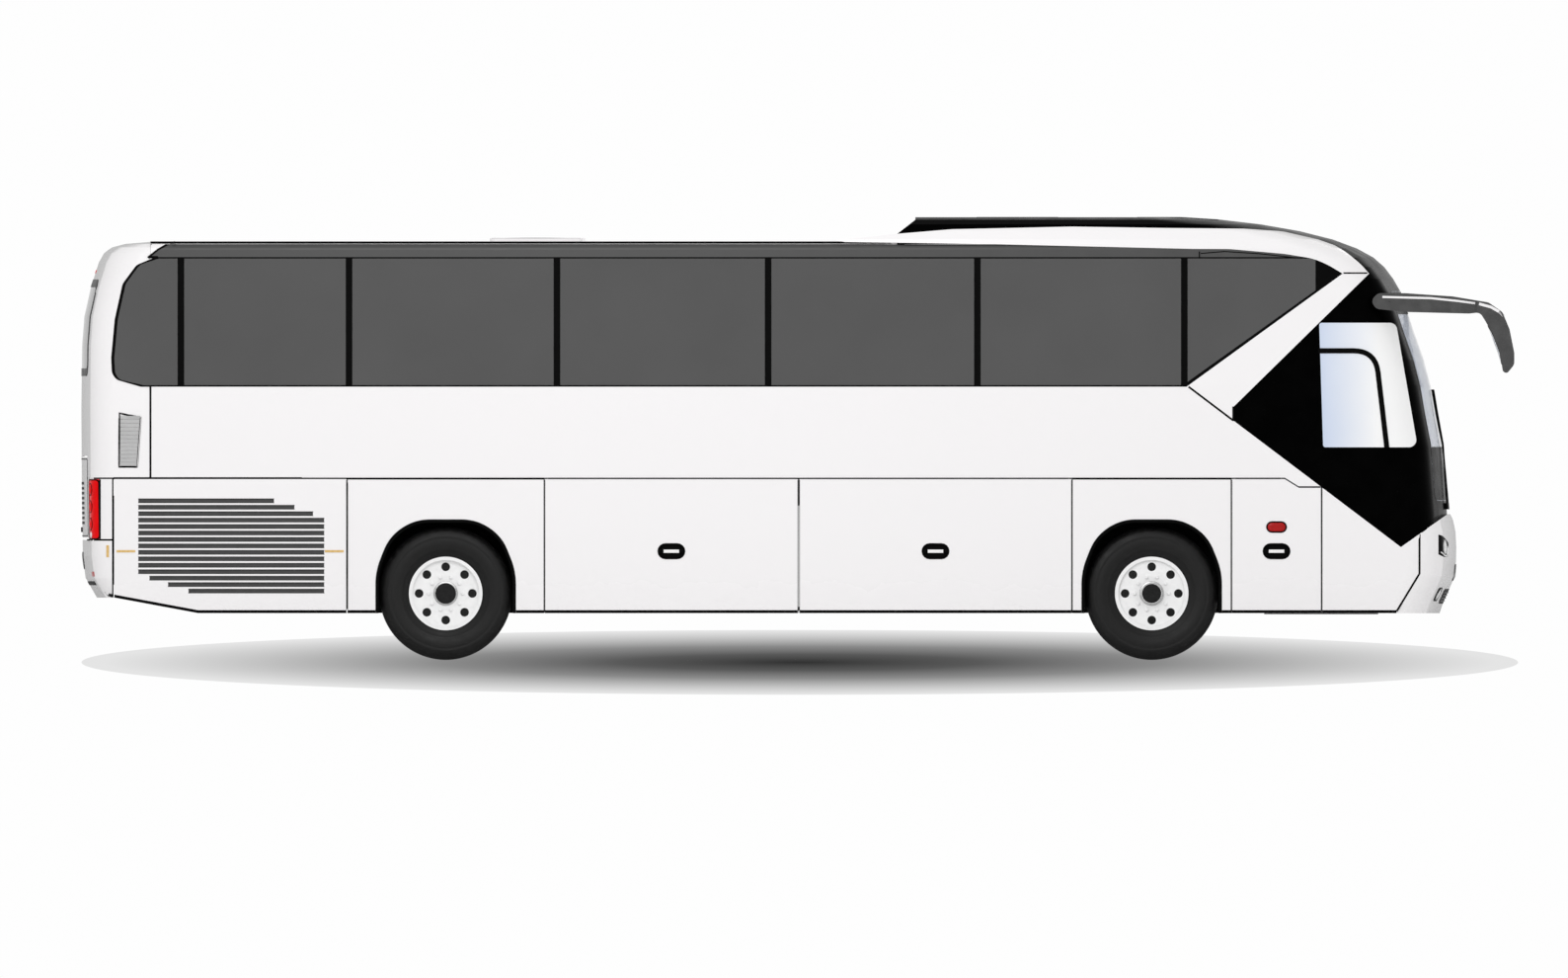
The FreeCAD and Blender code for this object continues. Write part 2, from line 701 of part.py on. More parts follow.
CAB_OUT = cab_form()
CAB_IN = cab_form(WALL_T)
CAB_SHELL = CAB_OUT.cut(CAB_IN)
CAB_GLASS_SHELL = cab_form(0.0, CAB_GLASS_LEVELS).cut(cab_form(GLASS_T, CAB_GLASS_LEVELS))
CAB_POCKET_SHELL = cab_form(-SEAT_GAP, CAB_GLASS_LEVELS).cut(cab_form(GLASS_T + SEAT_GAP, CAB_GLASS_LEVELS))
BUMPER_OUT = bumper_form()
BUMPER_SHELL = BUMPER_OUT.cut(bumper_form(WALL_T))
TAIL_OUT = tail_form()
TAIL_IN = tail_form(WALL_T)
TAIL_SHELL = TAIL_OUT.cut(TAIL_IN)
TAIL_GLASS_SHELL = tail_form(0.0, TAIL_GLASS_LEVELS).cut(tail_form(GLASS_T, TAIL_GLASS_LEVELS))
TAIL_POCKET_SHELL = tail_form(-SEAT_GAP, TAIL_GLASS_LEVELS).cut(
    tail_form(GLASS_T + SEAT_GAP, TAIL_GLASS_LEVELS))


def across(points):
    """A cutter through the whole width of the coach, from an (x, z) outline."""
    return prism_y(points, -HALF_W - OVERRUN, HALF_W + OVERRUN)


def on_right(points):
    """A cutter through the right side only."""
    return prism_y(points, -HALF_W - OVERRUN, -WALL_T)


def on_left(points):
    return prism_y(points, WALL_T, HALF_W + OVERRUN)


def wall_slab(x0, x1, z0, z1, inset0, inset1):
    """A length of the flat right wall between two depths, following its lean."""
    zs = [z0] + [z for z in (SILL_Z,) if z0 < z < z1] + [z1]
    outer = [(-side_y(z, inset0), z) for z in zs]
    inner = [(-side_y(z, inset1), z) for z in reversed(zs)]
    return prism_x(outer + inner, x0, x1)


# Outlines in the side view

def mask_line_z(x):
    """The height of the mask's long lower edge, which runs on up to the foot of the band."""
    return SILL_Z + (MASK_POINT_Z - SILL_Z) / (MASK_POINT_X - BAND_FOOT_X) * (x - BAND_FOOT_X)


def mask_line_x(z):
    return BAND_FOOT_X + (z - SILL_Z) * (MASK_POINT_X - BAND_FOOT_X) / (MASK_POINT_Z - SILL_Z)


def band_edge_z(x):
    """The height of the diagonal band's upper rear edge."""
    return SILL_Z + (x - BAND_FOOT_X) * (BAND_TOP_Z - SILL_Z) / (BAND_TOP_X - BAND_FOOT_X)


def arch(axle_x, grow=0.0):
    """A wheel arch: flat on top, with round flanks down to the skirt."""
    half = ARCH_HALF_LENGTH + grow
    flat = half * ARCH_FLAT_HALF_SHARE
    knee_z = TYRE_R + half * ARCH_KNEE_SHARE
    knee_x = half * ARCH_KNEE_REACH_SHARE
    foot = SKIRT_Z - OVERRUN
    rear = [(axle_x - half, foot), (axle_x - half, TYRE_R + half * ARCH_FOOT_SHARE, half),
            (axle_x - knee_x, knee_z, half), (axle_x - flat, ARCH_TOP_Z + grow, half)]
    return rear + [(2 * axle_x - p[0],) + p[1:] for p in reversed(rear)]


def arch_panel(x0, x1, axle_x):
    """The fixed skirt panel round a wheel, as thick as the wall, with a grooved top joint."""
    panel = box(x0, x1, -HALF_W, -WALL_Y, SKIRT_Z, BELT_Z)
    panel = panel.cut(on_right(arch(axle_x)))
    return panel.cut(box(x0, x1, -HALF_W, -HALF_W + SEAM_DEEP, BELT_Z - SEAM_W, BELT_Z))


def side_hinge():
    """The upright hinge bead of the engine bay's side door, on the edge of the panel ahead of it."""
    foot, top = SKIRT_Z + HINGE_END, BELT_Z - HALF_GAP - HINGE_END
    return rod(HINGE_R, V(REAR_PANEL_X0, -HALF_W, foot), V(REAR_PANEL_X0, -HALF_W, top))


def handle_outline(x, grow):
    return rect(x - HANDLE_W / 2 - grow, x + HANDLE_W / 2 + grow, HANDLE_Z - HANDLE_H / 2 - grow,
                HANDLE_Z + HANDLE_H / 2 + grow, HANDLE_H / 2 + grow)


def handle(flap, x):
    """A round-ended pocket in a flap's outer face, with a pull bar across it."""
    back = prism_y(handle_outline(x, FLAP_SKIN), -HALF_W + FLAP_SKIN, -HALF_W + FLAP_T)
    hollow = prism_y(handle_outline(x, 0.0), -HALF_W - OVERRUN, -HALF_W + HANDLE_DEEP)
    bar = box(x - HANDLE_W / 2, x + HANDLE_W / 2, -HALF_W, -HALF_W + HANDLE_DEEP / 2,
              HANDLE_Z - HANDLE_BAR_H / 2, HANDLE_Z + HANDLE_BAR_H / 2)
    return union([flap, back]).cut(hollow).fuse(bar).removeSplitter()


def skirt_flap(outline, pan):
    """A flap in the right skirt: a flat skin with a deep frame round its edge."""
    flap = prism_y(outline, -HALF_W, -HALF_W + FLAP_T)
    return flap.cut(prism_y(pan, -HALF_W + FLAP_SKIN, -HALF_W + FLAP_T + OVERRUN))


def luggage_flap(x0, x1):
    x0, x1, z0, z1 = x0 + HALF_GAP, x1 - HALF_GAP, SKIRT_Z, BELT_Z - HALF_GAP
    flap = skirt_flap(rect(x0, x1, z0, z1),
                      rect(x0 + FLAP_RIB, x1 - FLAP_RIB, z0 + FLAP_RIB, z1 - FLAP_RIB))
    return handle(flap, (x0 + x1) / 2)


def service_flap():
    x0, x1 = FRONT_PANEL_X1 + HALF_GAP, SERVICE_X1 - HALF_GAP
    low_z = BELT_Z - BELT_STEP - HALF_GAP
    top_z = BELT_Z - HALF_GAP
    outline = [(x0, SKIRT_Z), (x1, SKIRT_Z), (x1, low_z), (BELT_STEP_X + BELT_STEP_LENGTH, low_z),
               (BELT_STEP_X, top_z), (x0, top_z)]
    pan = rect(x0 + FLAP_RIB, x1 - FLAP_RIB, SKIRT_Z + FLAP_RIB, low_z - FLAP_RIB)
    middle = (x0 + x1) / 2
    seat = rect(middle - LAMP_W / 2, middle + LAMP_W / 2, LAMP_Z - LAMP_H / 2, LAMP_Z + LAMP_H / 2,
                LAMP_H / 2)
    flap = skirt_flap(outline, pan).cut(prism_y(seat, -HALF_W - OVERRUN, -HALF_W + LAMP_DEEP))
    return handle(flap, middle)


def engine_side_door():
    """The engine bay's side door: its foot sweeps up to the rear and louvre slots cross it."""
    x0, x1 = REAR_CORNER_X + HALF_GAP, REAR_PANEL_X0 - HALF_GAP
    top_z = BELT_Z - HALF_GAP
    door = prism_y([(x0, TAIL_SWEEP_Z), (REAR_X + TAIL_SWEEP_X, SKIRT_Z), (x1, SKIRT_Z), (x1, top_z),
                    (x0, top_z)],
                   -HALF_W, -HALF_W + FLAP_T)
    grille0, grille1 = REAR_CORNER_X + GRILLE_REAR, REAR_PANEL_X0 - GRILLE_FRONT
    foot_z = GRILLE_TOP_Z - GRILLE_SLOTS * GRILLE_PITCH
    door = door.cut(box(grille0, grille1, -HALF_W + FLAP_SKIN, -HALF_W + FLAP_T + OVERRUN, foot_z,
                        GRILLE_TOP_Z))
    slots = []
    for i in range(GRILLE_SLOTS):
        top = GRILLE_TOP_Z - i * GRILLE_PITCH
        front_cut, rear_cut = 0.0, 0.0
        if i < len(GRILLE_END_SHARES):
            front_cut = GRILLE_END_SHARES[i] * (grille1 - grille0)
        if GRILLE_SLOTS - 1 - i < len(GRILLE_END_SHARES):
            rear_cut = GRILLE_END_SHARES[GRILLE_SLOTS - 1 - i] * (grille1 - grille0)
        slots.append(box(grille0 + rear_cut, grille1 - front_cut, -HALF_W - OVERRUN,
                         -HALF_W + FLAP_T + OVERRUN,
                         top - GRILLE_SLOT, top))
    return door.cut(Part.makeCompound(slots))


def top_hinge(x0, x1):
    """A hinge bead at the outer skin, along the joint over a flap, with its web to the panel above."""
    x0, x1 = x0 + HINGE_END, x1 - HINGE_END
    bead = rod(HINGE_R, V(x0, -HALF_W, BELT_Z), V(x1, -HALF_W, BELT_Z))
    web = box(x0, x1, -HALF_W, -HALF_W + HINGE_WEB, BELT_Z, BELT_Z + HALF_GAP + HINGE_WEB)
    return bead.fuse(web)


# Window band and waist

def pane_spans():
    """Where each upright pane lies between its pillars."""
    h = PILLAR_W / 2
    return [(a + h, b - h) for a, b in zip(PILLARS_X[:-1], PILLARS_X[1:])]


def quarter_outline(grow):
    """The rear quarter pane: upright at its pillar, curved at its rear."""
    x1 = PILLARS_X[0] - PILLAR_W / 2
    h = HEADER_Z - SILL_Z
    rear = [(x1 - QUARTER_LENGTH * reach - grow, SILL_Z + h * rise, QUARTER_EDGE_R)
            for reach, rise in QUARTER_SHARES[1:-1]]
    foot, top = QUARTER_SHARES[0], QUARTER_SHARES[-1]
    return ([(x1 + grow, SILL_Z - grow), (x1 - QUARTER_LENGTH * foot[0] - grow, SILL_Z - grow)] + rear
            + [(x1 - QUARTER_LENGTH * top[0] - grow, HEADER_Z + grow), (x1 + grow, HEADER_Z + grow)])


def front_pane_outline(grow):
    """The pane ahead of the last pillar, cut off below by the diagonal band."""
    x0 = PILLARS_X[-1] + PILLAR_W / 2
    lift = BAND_LIP + FRONT_PANE_LIFT - grow
    x1 = FRONT_PANE_X
    return [(x0 - grow, band_edge_z(x0) + lift), (x1 + grow, band_edge_z(x1) + lift),
            (x1 + grow, HEADER_Z + grow), (x0 - grow, HEADER_Z + grow)]


def frame_region():
    """The black window frame's whole outline, from the rear quarter to the band's top."""
    low, high = SILL_Z - BAND_LIP, HEADER_Z + BAND_LIP
    quarter = quarter_outline(QUARTER_FRAME)
    rear = quarter[2:-2]
    cheek = [p for p in side_points(CHEEK_LOW_SHARES) if p[1] < high]
    return ([(REAR_CAP_X, low), (BAND_FOOT_X, low), (BAND_TOP_X, BAND_TOP_Z)] + cheek
            + [(cheek_low_x(high), high), (quarter[-2][0], high)] + list(reversed(rear))
            + [(quarter[1][0], low)])


def cheek_low_x(z):
    """Where the cheek's lower edge crosses a height."""
    points = side_points(CHEEK_LOW_SHARES)
    for a, b in zip(points[:-1], points[1:]):
        if a[1] <= z <= b[1]:
            return a[0] + (z - a[1]) * (b[0] - a[0]) / (b[1] - a[1])
    return points[-1][0]


def window_frame_and_panes():
    top = HEADER_Z + BAND_LIP
    frame = wall_slab(REAR_X, CAB_GLASS_SEAM_X, SILL_Z - BAND_LIP, top, 0.0, WALL_T)
    frame = frame.common(on_right(frame_region()))
    panes = []
    outlines = [(rect(x0, x1, SILL_Z, HEADER_Z),
                 rect(x0 - PANE_GAP, x1 + PANE_GAP, SILL_Z - PANE_GAP, HEADER_Z + PANE_GAP),
                 rect(x0 + PANE_LAP, x1 - PANE_LAP, SILL_Z + PANE_LAP, HEADER_Z - PANE_LAP, PANE_LAP))
                for x0, x1 in pane_spans()]
    outlines.append([quarter_outline(0.0), quarter_outline(PANE_GAP), quarter_outline(-PANE_LAP)])
    outlines.append([front_pane_outline(0.0), front_pane_outline(PANE_GAP), front_pane_outline(-PANE_LAP)])
    pocket_slab = wall_slab(REAR_X, CAB_GLASS_SEAM_X, SILL_Z - BAND_LIP, top, -OVERRUN, GLASS_T + SEAT_GAP)
    glass_slab = wall_slab(REAR_X, CAB_GLASS_SEAM_X, SILL_Z - BAND_LIP, top, 0.0, GLASS_T)
    cutters = []
    for pane, pocket, hole in outlines:
        cutters.append(pocket_slab.common(on_right(pocket)))
        cutters.append(on_right(hole))
        panes.append(glass_slab.common(on_right(pane)))
    cheek = cheek_region()
    return frame.cut(Part.makeCompound(cutters)).cut(cheek), [pane.cut(cheek) for pane in panes]


def waist_panel():
    low_z = BELT_Z + HALF_GAP
    step_z = low_z - BELT_STEP
    wall = wall_slab(REAR_CAP_X, MASK_REAR_X + OVERRUN * 4, BELT_Z - BELT_STEP, SILL_Z - BAND_LIP, 0.0,
                     WALL_T)
    outline = [(REAR_CAP_X, low_z), (BELT_STEP_X, low_z), (BELT_STEP_X + BELT_STEP_LENGTH, step_z),
               (mask_line_x(step_z), step_z), (mask_line_x(SILL_Z - BAND_LIP), SILL_Z - BAND_LIP),
               (REAR_CAP_X, SILL_Z - BAND_LIP)]
    panel = wall.common(on_right(outline))
    tongues = [box(x0, x1, -HALF_W + SEAM_DEEP, -WALL_Y, BELT_Z, low_z + SEAM_DEEP)
               for x0, x1 in ((REAR_PANEL_X0, REAR_PANEL_X1), (FRONT_PANEL_X0, FRONT_PANEL_X1))]
    return panel, tongues


def cove():
    """The dark strip between the windows and the roof, from the rear cap to the cheek's low edge."""
    low = HEADER_Z + BAND_LIP
    body = prism_x(section(), REAR_CAP_X, CAB_GLASS_SEAM_X).cut(
        prism_x(section(WALL_T), REAR_CAP_X - OVERRUN, CAB_GLASS_SEAM_X + OVERRUN))
    edge = [p for p in side_points(CHEEK_LOW_SHARES) if low < p[1] < COVE_TOP_Z]
    wall = box(REAR_X, NOSE_X, -HALF_W, -side_y(COVE_TOP_Z, WALL_T), SILL_Z, ROOF_Z)
    outline = ([(REAR_CAP_X, low), (cheek_low_x(low), low)] + edge
               + [(cheek_low_x(COVE_TOP_Z), COVE_TOP_Z), (REAR_CAP_X, COVE_TOP_Z)])
    return body.common(wall).common(on_right(outline)).cut(cheek_region())


def cheek_outline():
    """The white strip of the fairing, from its point at the rear to the top of the diagonal band."""
    top = rounded(side_points(CHEEK_TOP_SHARES), ROOF_EDGE_R)
    low = rounded(side_points(CHEEK_LOW_SHARES), ROOF_EDGE_R)
    front = [(BAND_REAR_X, BAND_TOP_Z), (BAND_TOP_X, BAND_TOP_Z)]
    return [low[-1][:2], top[0][:2]] + top[1:] + front + low[:-1]


def cheek_region():
    return prism_y(cheek_outline(), -HALF_W - OVERRUN, -CHEEK_INNER_Y)


def low_body():
    return prism_x(section(), REAR_X, CAB_BACK_X + CAB_DEPTH)


def roof_cheek():
    body = CAB_SHELL.common(cheek_region())
    return body.cut(low_body().common(box(REAR_X, POD_X, -HALF_W, HALF_W, SKIRT_Z, ROOF_Z)))


def roof_pod():
    """The black housing over the front of the roof, down to the top of the windscreen's mask."""
    low = rounded(side_points(CHEEK_LOW_SHARES), ROOF_EDGE_R)
    start_z = side_points(CHEEK_TOP_SHARES)[1][1]
    crest_z = FAIRING_Z - POD_RAMP_DROP
    outline = ([(POD_X, COVE_TOP_Z), (POD_X, start_z), (POD_X + POD_RAMP, crest_z),
                (POD_X + POD_RAMP, FAIRING_Z + OVERRUN), (NOSE_X + OVERRUN, FAIRING_Z + OVERRUN),
                (NOSE_X + OVERRUN, BAND_TOP_Z), (BAND_TOP_X, BAND_TOP_Z)]
               + [p for p in low if p[0] > POD_X])
    cheek = cheek_region()
    ramp = [(POD_X, COVE_TOP_Z), (POD_X, start_z), (POD_X + POD_RAMP, crest_z),
            (POD_X + POD_RAMP + WALL_T, crest_z), (POD_X + WALL_T, start_z), (POD_X + WALL_T, COVE_TOP_Z)]
    pod = CAB_SHELL.common(across(outline)).cut(cheek).cut(mirrored(cheek))
    return union([pod, CAB_IN.common(across(ramp))])


def roof_panel():
    """The low roof from the rear cap to the pod, with the hatch's opening."""
    shell = prism_x(section(), REAR_CAP_X, POD_X + WALL_T).cut(
        prism_x(section(WALL_T), REAR_CAP_X - OVERRUN, POD_X + OVERRUN))
    panel = shell.common(box(REAR_CAP_X, POD_X, -HALF_W, HALF_W, COVE_TOP_Z, ROOF_Z))
    under = shell.common(box(REAR_CAP_X, POD_X, -side_y(COVE_TOP_Z, WALL_T), side_y(COVE_TOP_Z, WALL_T),
                             ROOF_Z - WALL_T * 2, COVE_TOP_Z))
    hole = rect(HATCH_X, HATCH_X + HATCH_L, -HATCH_HALF, HATCH_HALF, HATCH_R)
    roof = union([panel, under]).cut(prism_z(hole, SILL_Z, ROOF_Z + OVERRUN))
    return union([roof] + [hatch_hinge(side) for side in (RIGHT, LEFT)])


def hatch_hinge(side):
    """One of the hatch's two hinges: a bead over the front edge of its opening, on a low block."""
    x, z = HATCH_X + HATCH_L, ROOF_Z + HATCH_LIP
    y0, y1 = side * HATCH_HINGE_Y - LID_HINGE_L / 2, side * HATCH_HINGE_Y + LID_HINGE_L / 2
    block = box(x, x + HINGE_WEB * 2, y0, y1, ROOF_Z - HATCH_LIP, z)
    return rod(HINGE_R, V(x, y0, z), V(x, y1, z)).fuse(block)


# Rear end

def below_sweep():
    """What the rising foot of the tail leaves out."""
    return across([(REAR_X - OVERRUN, SKIRT_Z - OVERRUN), (REAR_X + TAIL_SWEEP_X, SKIRT_Z - OVERRUN),
                   (REAR_X + TAIL_SWEEP_X, SKIRT_Z), (REAR_CORNER_X, TAIL_SWEEP_Z), (REAR_X, TAIL_SWEEP_Z)])


def tail_skin(thickness):
    """The outer layer of the tail's lower half."""
    return tail_form(0.0, TAIL_SKIN_LEVELS).cut(tail_form(thickness, TAIL_SKIN_LEVELS))


def tail_lamp_region(grow):
    """The right lamp wraps the corner: an upright block over the side and the rear face."""
    z0, z1 = TAIL_LAMP_Z0 - grow, TAIL_LAMP_Z1 + grow
    side = rect(REAR_X - OVERRUN, REAR_X + TAIL_LAMP_X + grow, z0, z1)
    back = [(-HALF_W - OVERRUN, z0), (-TAIL_LAMP_Y + grow, z0, TAIL_LAMP_R),
            (-TAIL_LAMP_Y + grow, z1, TAIL_LAMP_R),
            (-HALF_W - OVERRUN, z1)]
    return on_right(side).common(prism_x(back, REAR_X - OVERRUN, REAR_X + TAIL_LAMP_X + grow))


def vent_outline():
    x0, x1 = REAR_X + VENT_X, REAR_X + VENT_X + VENT_W
    h = VENT_Z1 - VENT_Z0
    return [(x0, VENT_Z0), (x1 - h * VENT_LEAN_SHARES[1] / 2, VENT_Z0),
            (x1, VENT_Z1 - h * VENT_LEAN_SHARES[2]),
            (x0, VENT_Z1)]


def engine_opening():
    """The engine lid's opening, down to the top of the bumper."""
    half = ENGINE_LID_HALF + PANEL_GAP
    return rect(-half, half, BUMPER_TOP_Z - OVERRUN, ENGINE_LID_Z1 + PANEL_GAP, ENGINE_LID_R)


def rear_glass_outline(grow):
    return rect(-REAR_GLASS_HALF - grow, REAR_GLASS_HALF + grow, REAR_GLASS_Z0 - grow, REAR_GLASS_Z1 + grow,
                REAR_GLASS_R)


def at_tail(outline):
    """A cutter through the rear face, from a (y, z) outline."""
    return prism_x(outline, REAR_X - OVERRUN, REAR_CORNER_X)


def rear_cap():
    """The moulded rear: roof edge, corners and rear face, with its window and engine lid openings."""
    skirt = box(REAR_X - OVERRUN, REAR_CORNER_X, -HALF_W - OVERRUN, HALF_W + OVERRUN, BUMPER_TOP_Z,
                BELT_Z + HALF_GAP)
    upper = box(REAR_X - OVERRUN, REAR_CAP_X, -HALF_W - OVERRUN, HALF_W + OVERRUN, BELT_Z + HALF_GAP,
                ROOF_Z + OVERRUN)
    cap = TAIL_SHELL.common(union([skirt, upper]))
    frame = prism_y(frame_region(), -HALF_W - OVERRUN, HALF_W + OVERRUN)
    lamps = tail_skin(TAIL_LAMP_T + SEAT_GAP).common(tail_lamp_region(SEAT_GAP))
    vent = tail_skin(VENT_DEEP).common(on_right(vent_outline()))
    pocket = TAIL_POCKET_SHELL.common(at_tail(rear_glass_outline(PANE_GAP)))
    cutters = [frame, lamps, mirrored(lamps), vent, mirrored(vent), pocket,
               at_tail(rear_glass_outline(-PANE_LAP)), at_tail(engine_opening())]
    for cutter in cutters:
        cap = cap.cut(cutter)
    webs = [lid_hinge(side) for side in (RIGHT, LEFT)]
    return union([cap] + webs)


def lid_hinge_x():
    return REAR_X + HINGE_R


def lid_hinge(side):
    """One of the engine lid's two hinge beads, with its web up to the cap."""
    z = ENGINE_LID_Z1 + HALF_GAP
    y0, y1 = side * LID_HINGE_Y - LID_HINGE_L / 2, side * LID_HINGE_Y + LID_HINGE_L / 2
    bead = rod(HINGE_R, V(lid_hinge_x(), y0, z), V(lid_hinge_x(), y1, z))
    web = box(lid_hinge_x(), lid_hinge_x() + HINGE_WEB * 2, y0, y1, z, z + HALF_GAP + HINGE_WEB)
    return bead.fuse(web)


def engine_lid():
    outline = rect(-ENGINE_LID_HALF, ENGINE_LID_HALF, ENGINE_LID_Z0, ENGINE_LID_Z1, ENGINE_LID_R)
    return TAIL_SHELL.common(at_tail(outline))


def rear_bumper():
    """The rear bumper with its corners, notched over the towing lug."""
    bar = TAIL_SHELL.common(box(REAR_X - OVERRUN, REAR_CORNER_X, -HALF_W - OVERRUN, HALF_W + OVERRUN,
                                SKIRT_Z - OVERRUN, BUMPER_TOP_Z))
    half = LUG_PLATE_W / 2 + LUG_NOTCH
    notch = box(REAR_X - OVERRUN, REAR_CORNER_X, -half, half, SKIRT_Z - OVERRUN,
                REAR_LUG_Z + LUG_PLATE_T + LUG_NOTCH)
    return bar.cut(below_sweep()).cut(notch)


def tail_lamp():
    return tail_skin(TAIL_LAMP_T).common(tail_lamp_region(0.0))


# Front end

def bumper_line():
    """The joint between the bumper and the corner panel, from the mask down."""
    foot_x = BUMPER_FOOT_X - OVERRUN * (BUMPER_X - BUMPER_FOOT_X) / (BUMPER_KNEE_Z - SKIRT_Z)
    return [(BUMPER_X, mask_foot_z(BUMPER_X)), (BUMPER_X, BUMPER_KNEE_Z, WALL_T), (BUMPER_FOOT_X, SKIRT_Z),
            (foot_x, SKIRT_Z - OVERRUN)]


def mask_foot_z(x):
    """The mask's lower edge ahead of its point, rising to the bumper's lip."""
    return MASK_POINT_Z + (x - MASK_POINT_X) * (MASK_FRONT_Z - MASK_POINT_Z) / (MASK_NOSE_X - MASK_POINT_X)


def mask_region():
    return [(MASK_REAR_X, MASK_REAR_TOP_Z), (MASK_REAR_X, mask_line_z(MASK_REAR_X)),
            (MASK_POINT_X, MASK_POINT_Z),
            (MASK_NOSE_X, MASK_FRONT_Z), (NOSE_X + OVERRUN, MASK_FRONT_Z), (NOSE_X + OVERRUN, BAND_TOP_Z),
            (BAND_REAR_X, BAND_TOP_Z)]


def screen_outline(grow):
    return rect(-SCREEN_HALF - grow, SCREEN_HALF + grow, SCREEN_Z0 - grow, SCREEN_TOP_Z + grow, SCREEN_R)


def at_nose(outline):
    """A cutter through the front face, from a (y, z) outline."""
    return prism_x(outline, BAND_TOP_X, NOSE_X + OVERRUN)


def cab_glass_outline(grow):
    """The driver's side window, raked at its front like the windscreen pillar."""
    g = grow
    return [(CAB_GLASS_X + CAB_GLASS_RAKE - g, CAB_GLASS_Z0 - g, CAB_GLASS_R / 3),
            (CAB_GLASS_FRONT_LOW_X + g, CAB_GLASS_Z0 - g, CAB_GLASS_R),
            (CAB_GLASS_FRONT_TOP_X + g, CAB_GLASS_Z1 + g, CAB_GLASS_R),
            (CAB_GLASS_X - g, CAB_GLASS_Z1 + g, CAB_GLASS_R / 3)]


def door_outline(grow):
    return rect(DOOR_X0 - grow, DOOR_X1 + grow, DOOR_Z0 - grow, DOOR_Z1 + grow, DOOR_R)


def doorway():
    return on_left(door_outline(DOOR_GAP))


def front_mask():
    """The black surround of the windscreen and the driver's window, round to the entrance door."""
    mask = CAB_SHELL.common(across(mask_region()))
    cutters = [CAB_POCKET_SHELL.common(at_nose(screen_outline(PANE_GAP))),
               at_nose(screen_outline(-PANE_LAP * 2)),
               CAB_POCKET_SHELL.common(on_right(cab_glass_outline(PANE_GAP))),
               on_right(cab_glass_outline(-PANE_LAP)), doorway()]
    for cutter in cutters:
        mask = mask.cut(cutter)
    return mask


def windscreen():
    return CAB_GLASS_SHELL.common(at_nose(screen_outline(0.0)))


def cab_glass():
    return CAB_GLASS_SHELL.common(on_right(cab_glass_outline(0.0)))


def cab_band():
    """The white diagonal band between the window frame and the mask."""
    outline = [(BAND_FOOT_X, SILL_Z - BAND_LIP), (BAND_TOP_X, BAND_TOP_Z),
               (BAND_REAR_X, BAND_TOP_Z), (MASK_REAR_X, MASK_REAR_TOP_Z),
               (MASK_REAR_X, mask_line_z(MASK_REAR_X)),
               (mask_line_x(SILL_Z - BAND_LIP), SILL_Z - BAND_LIP)]
    return CAB_SHELL.common(on_right(outline))


def front_corner(x0):
    """The white skirt panel from x0 to the bumper, under the mask's long edge."""
    line = bumper_line()
    top = [(x0, mask_line_z(x0)), (MASK_POINT_X, MASK_POINT_Z)]
    outline = [(x0, SKIRT_Z - OVERRUN)] + top + line
    return BUMPER_SHELL.common(on_right(outline))


def front_bumper():
    line = [(p[0] + PANEL_GAP / 2,) + tuple(p[1:]) for p in bumper_line()]
    outline = line + [(NOSE_X + OVERRUN, SKIRT_Z - OVERRUN), (NOSE_X + OVERRUN, MASK_FRONT_Z),
                      (MASK_NOSE_X, MASK_FRONT_Z)]
    bumper = BUMPER_SHELL.common(across(outline))
    lamp = BUMPER_SHELL.cut(bumper_form(HEADLAMP_T + SEAT_GAP)).common(headlamp_region(SEAT_GAP))
    return bumper.cut(lamp).cut(mirrored(lamp))


def headlamp_region(grow):
    """The right headlamp: a leaf, wide at the corner and narrow towards the middle."""
    h = HEADLAMP_Z1 - HEADLAMP_Z0
    y0, y1 = -HEADLAMP_OUTER_Y - OVERRUN, -HEADLAMP_INNER_Y + grow
    mid = (-HEADLAMP_OUTER_Y - HEADLAMP_INNER_Y) / 2
    low, high = HEADLAMP_Z0 - grow, HEADLAMP_Z1 + grow
    outline = [(y0, low + h * 0.3), (-HEADLAMP_OUTER_Y, low + h * 0.3, HALF_W), (mid, low, HALF_W),
               (y1, low + h * 0.12, h / 8), (y1, high - h * 0.45, h / 8), (mid, high - h * 0.2, HALF_W),
               (y0, high)]
    return prism_x(outline, HEADLAMP_X - grow, NOSE_X + OVERRUN)


def headlamp():
    return BUMPER_SHELL.cut(bumper_form(HEADLAMP_T)).common(headlamp_region(0.0))


def mirror():
    """The right mirror: an arm from the roof corner that curves forward and down to its head."""
    points = [(MIRROR_X + (MIRROR_TIP_X - MIRROR_X) * a, MIRROR_TOP_Z - MIRROR_H * b, MIRROR_EDGE_R)
              for a, b in MIRROR_SHARES]
    split_x = MIRROR_X + (MIRROR_TIP_X - MIRROR_X) * MIRROR_SPLIT_SHARE
    whole = prism_y(points, -MIRROR_HEAD_Y - MIRROR_HEAD_W, -MIRROR_HEAD_Y)
    arm = whole.common(box(MIRROR_X - OVERRUN, split_x + MIRROR_ARM_W, -MIRROR_ARM_Y - MIRROR_ARM_W,
                           -MIRROR_ARM_Y,
                           SILL_Z, ROOF_Z))
    head = whole.common(box(split_x, MIRROR_TIP_X + OVERRUN, -MIRROR_HEAD_Y - MIRROR_HEAD_W, -MIRROR_HEAD_Y,
                            SILL_Z - OVERRUN, ROOF_Z))
    foot = prism_y(points, -MIRROR_ARM_Y, -MIRROR_HEAD_Y + WALL_T).common(
        box(MIRROR_X, MIRROR_X + MIRROR_FOOT_X, -HALF_W, HALF_W, SILL_Z, ROOF_Z))
    return union([arm, head, foot]).cut(CAB_OUT)


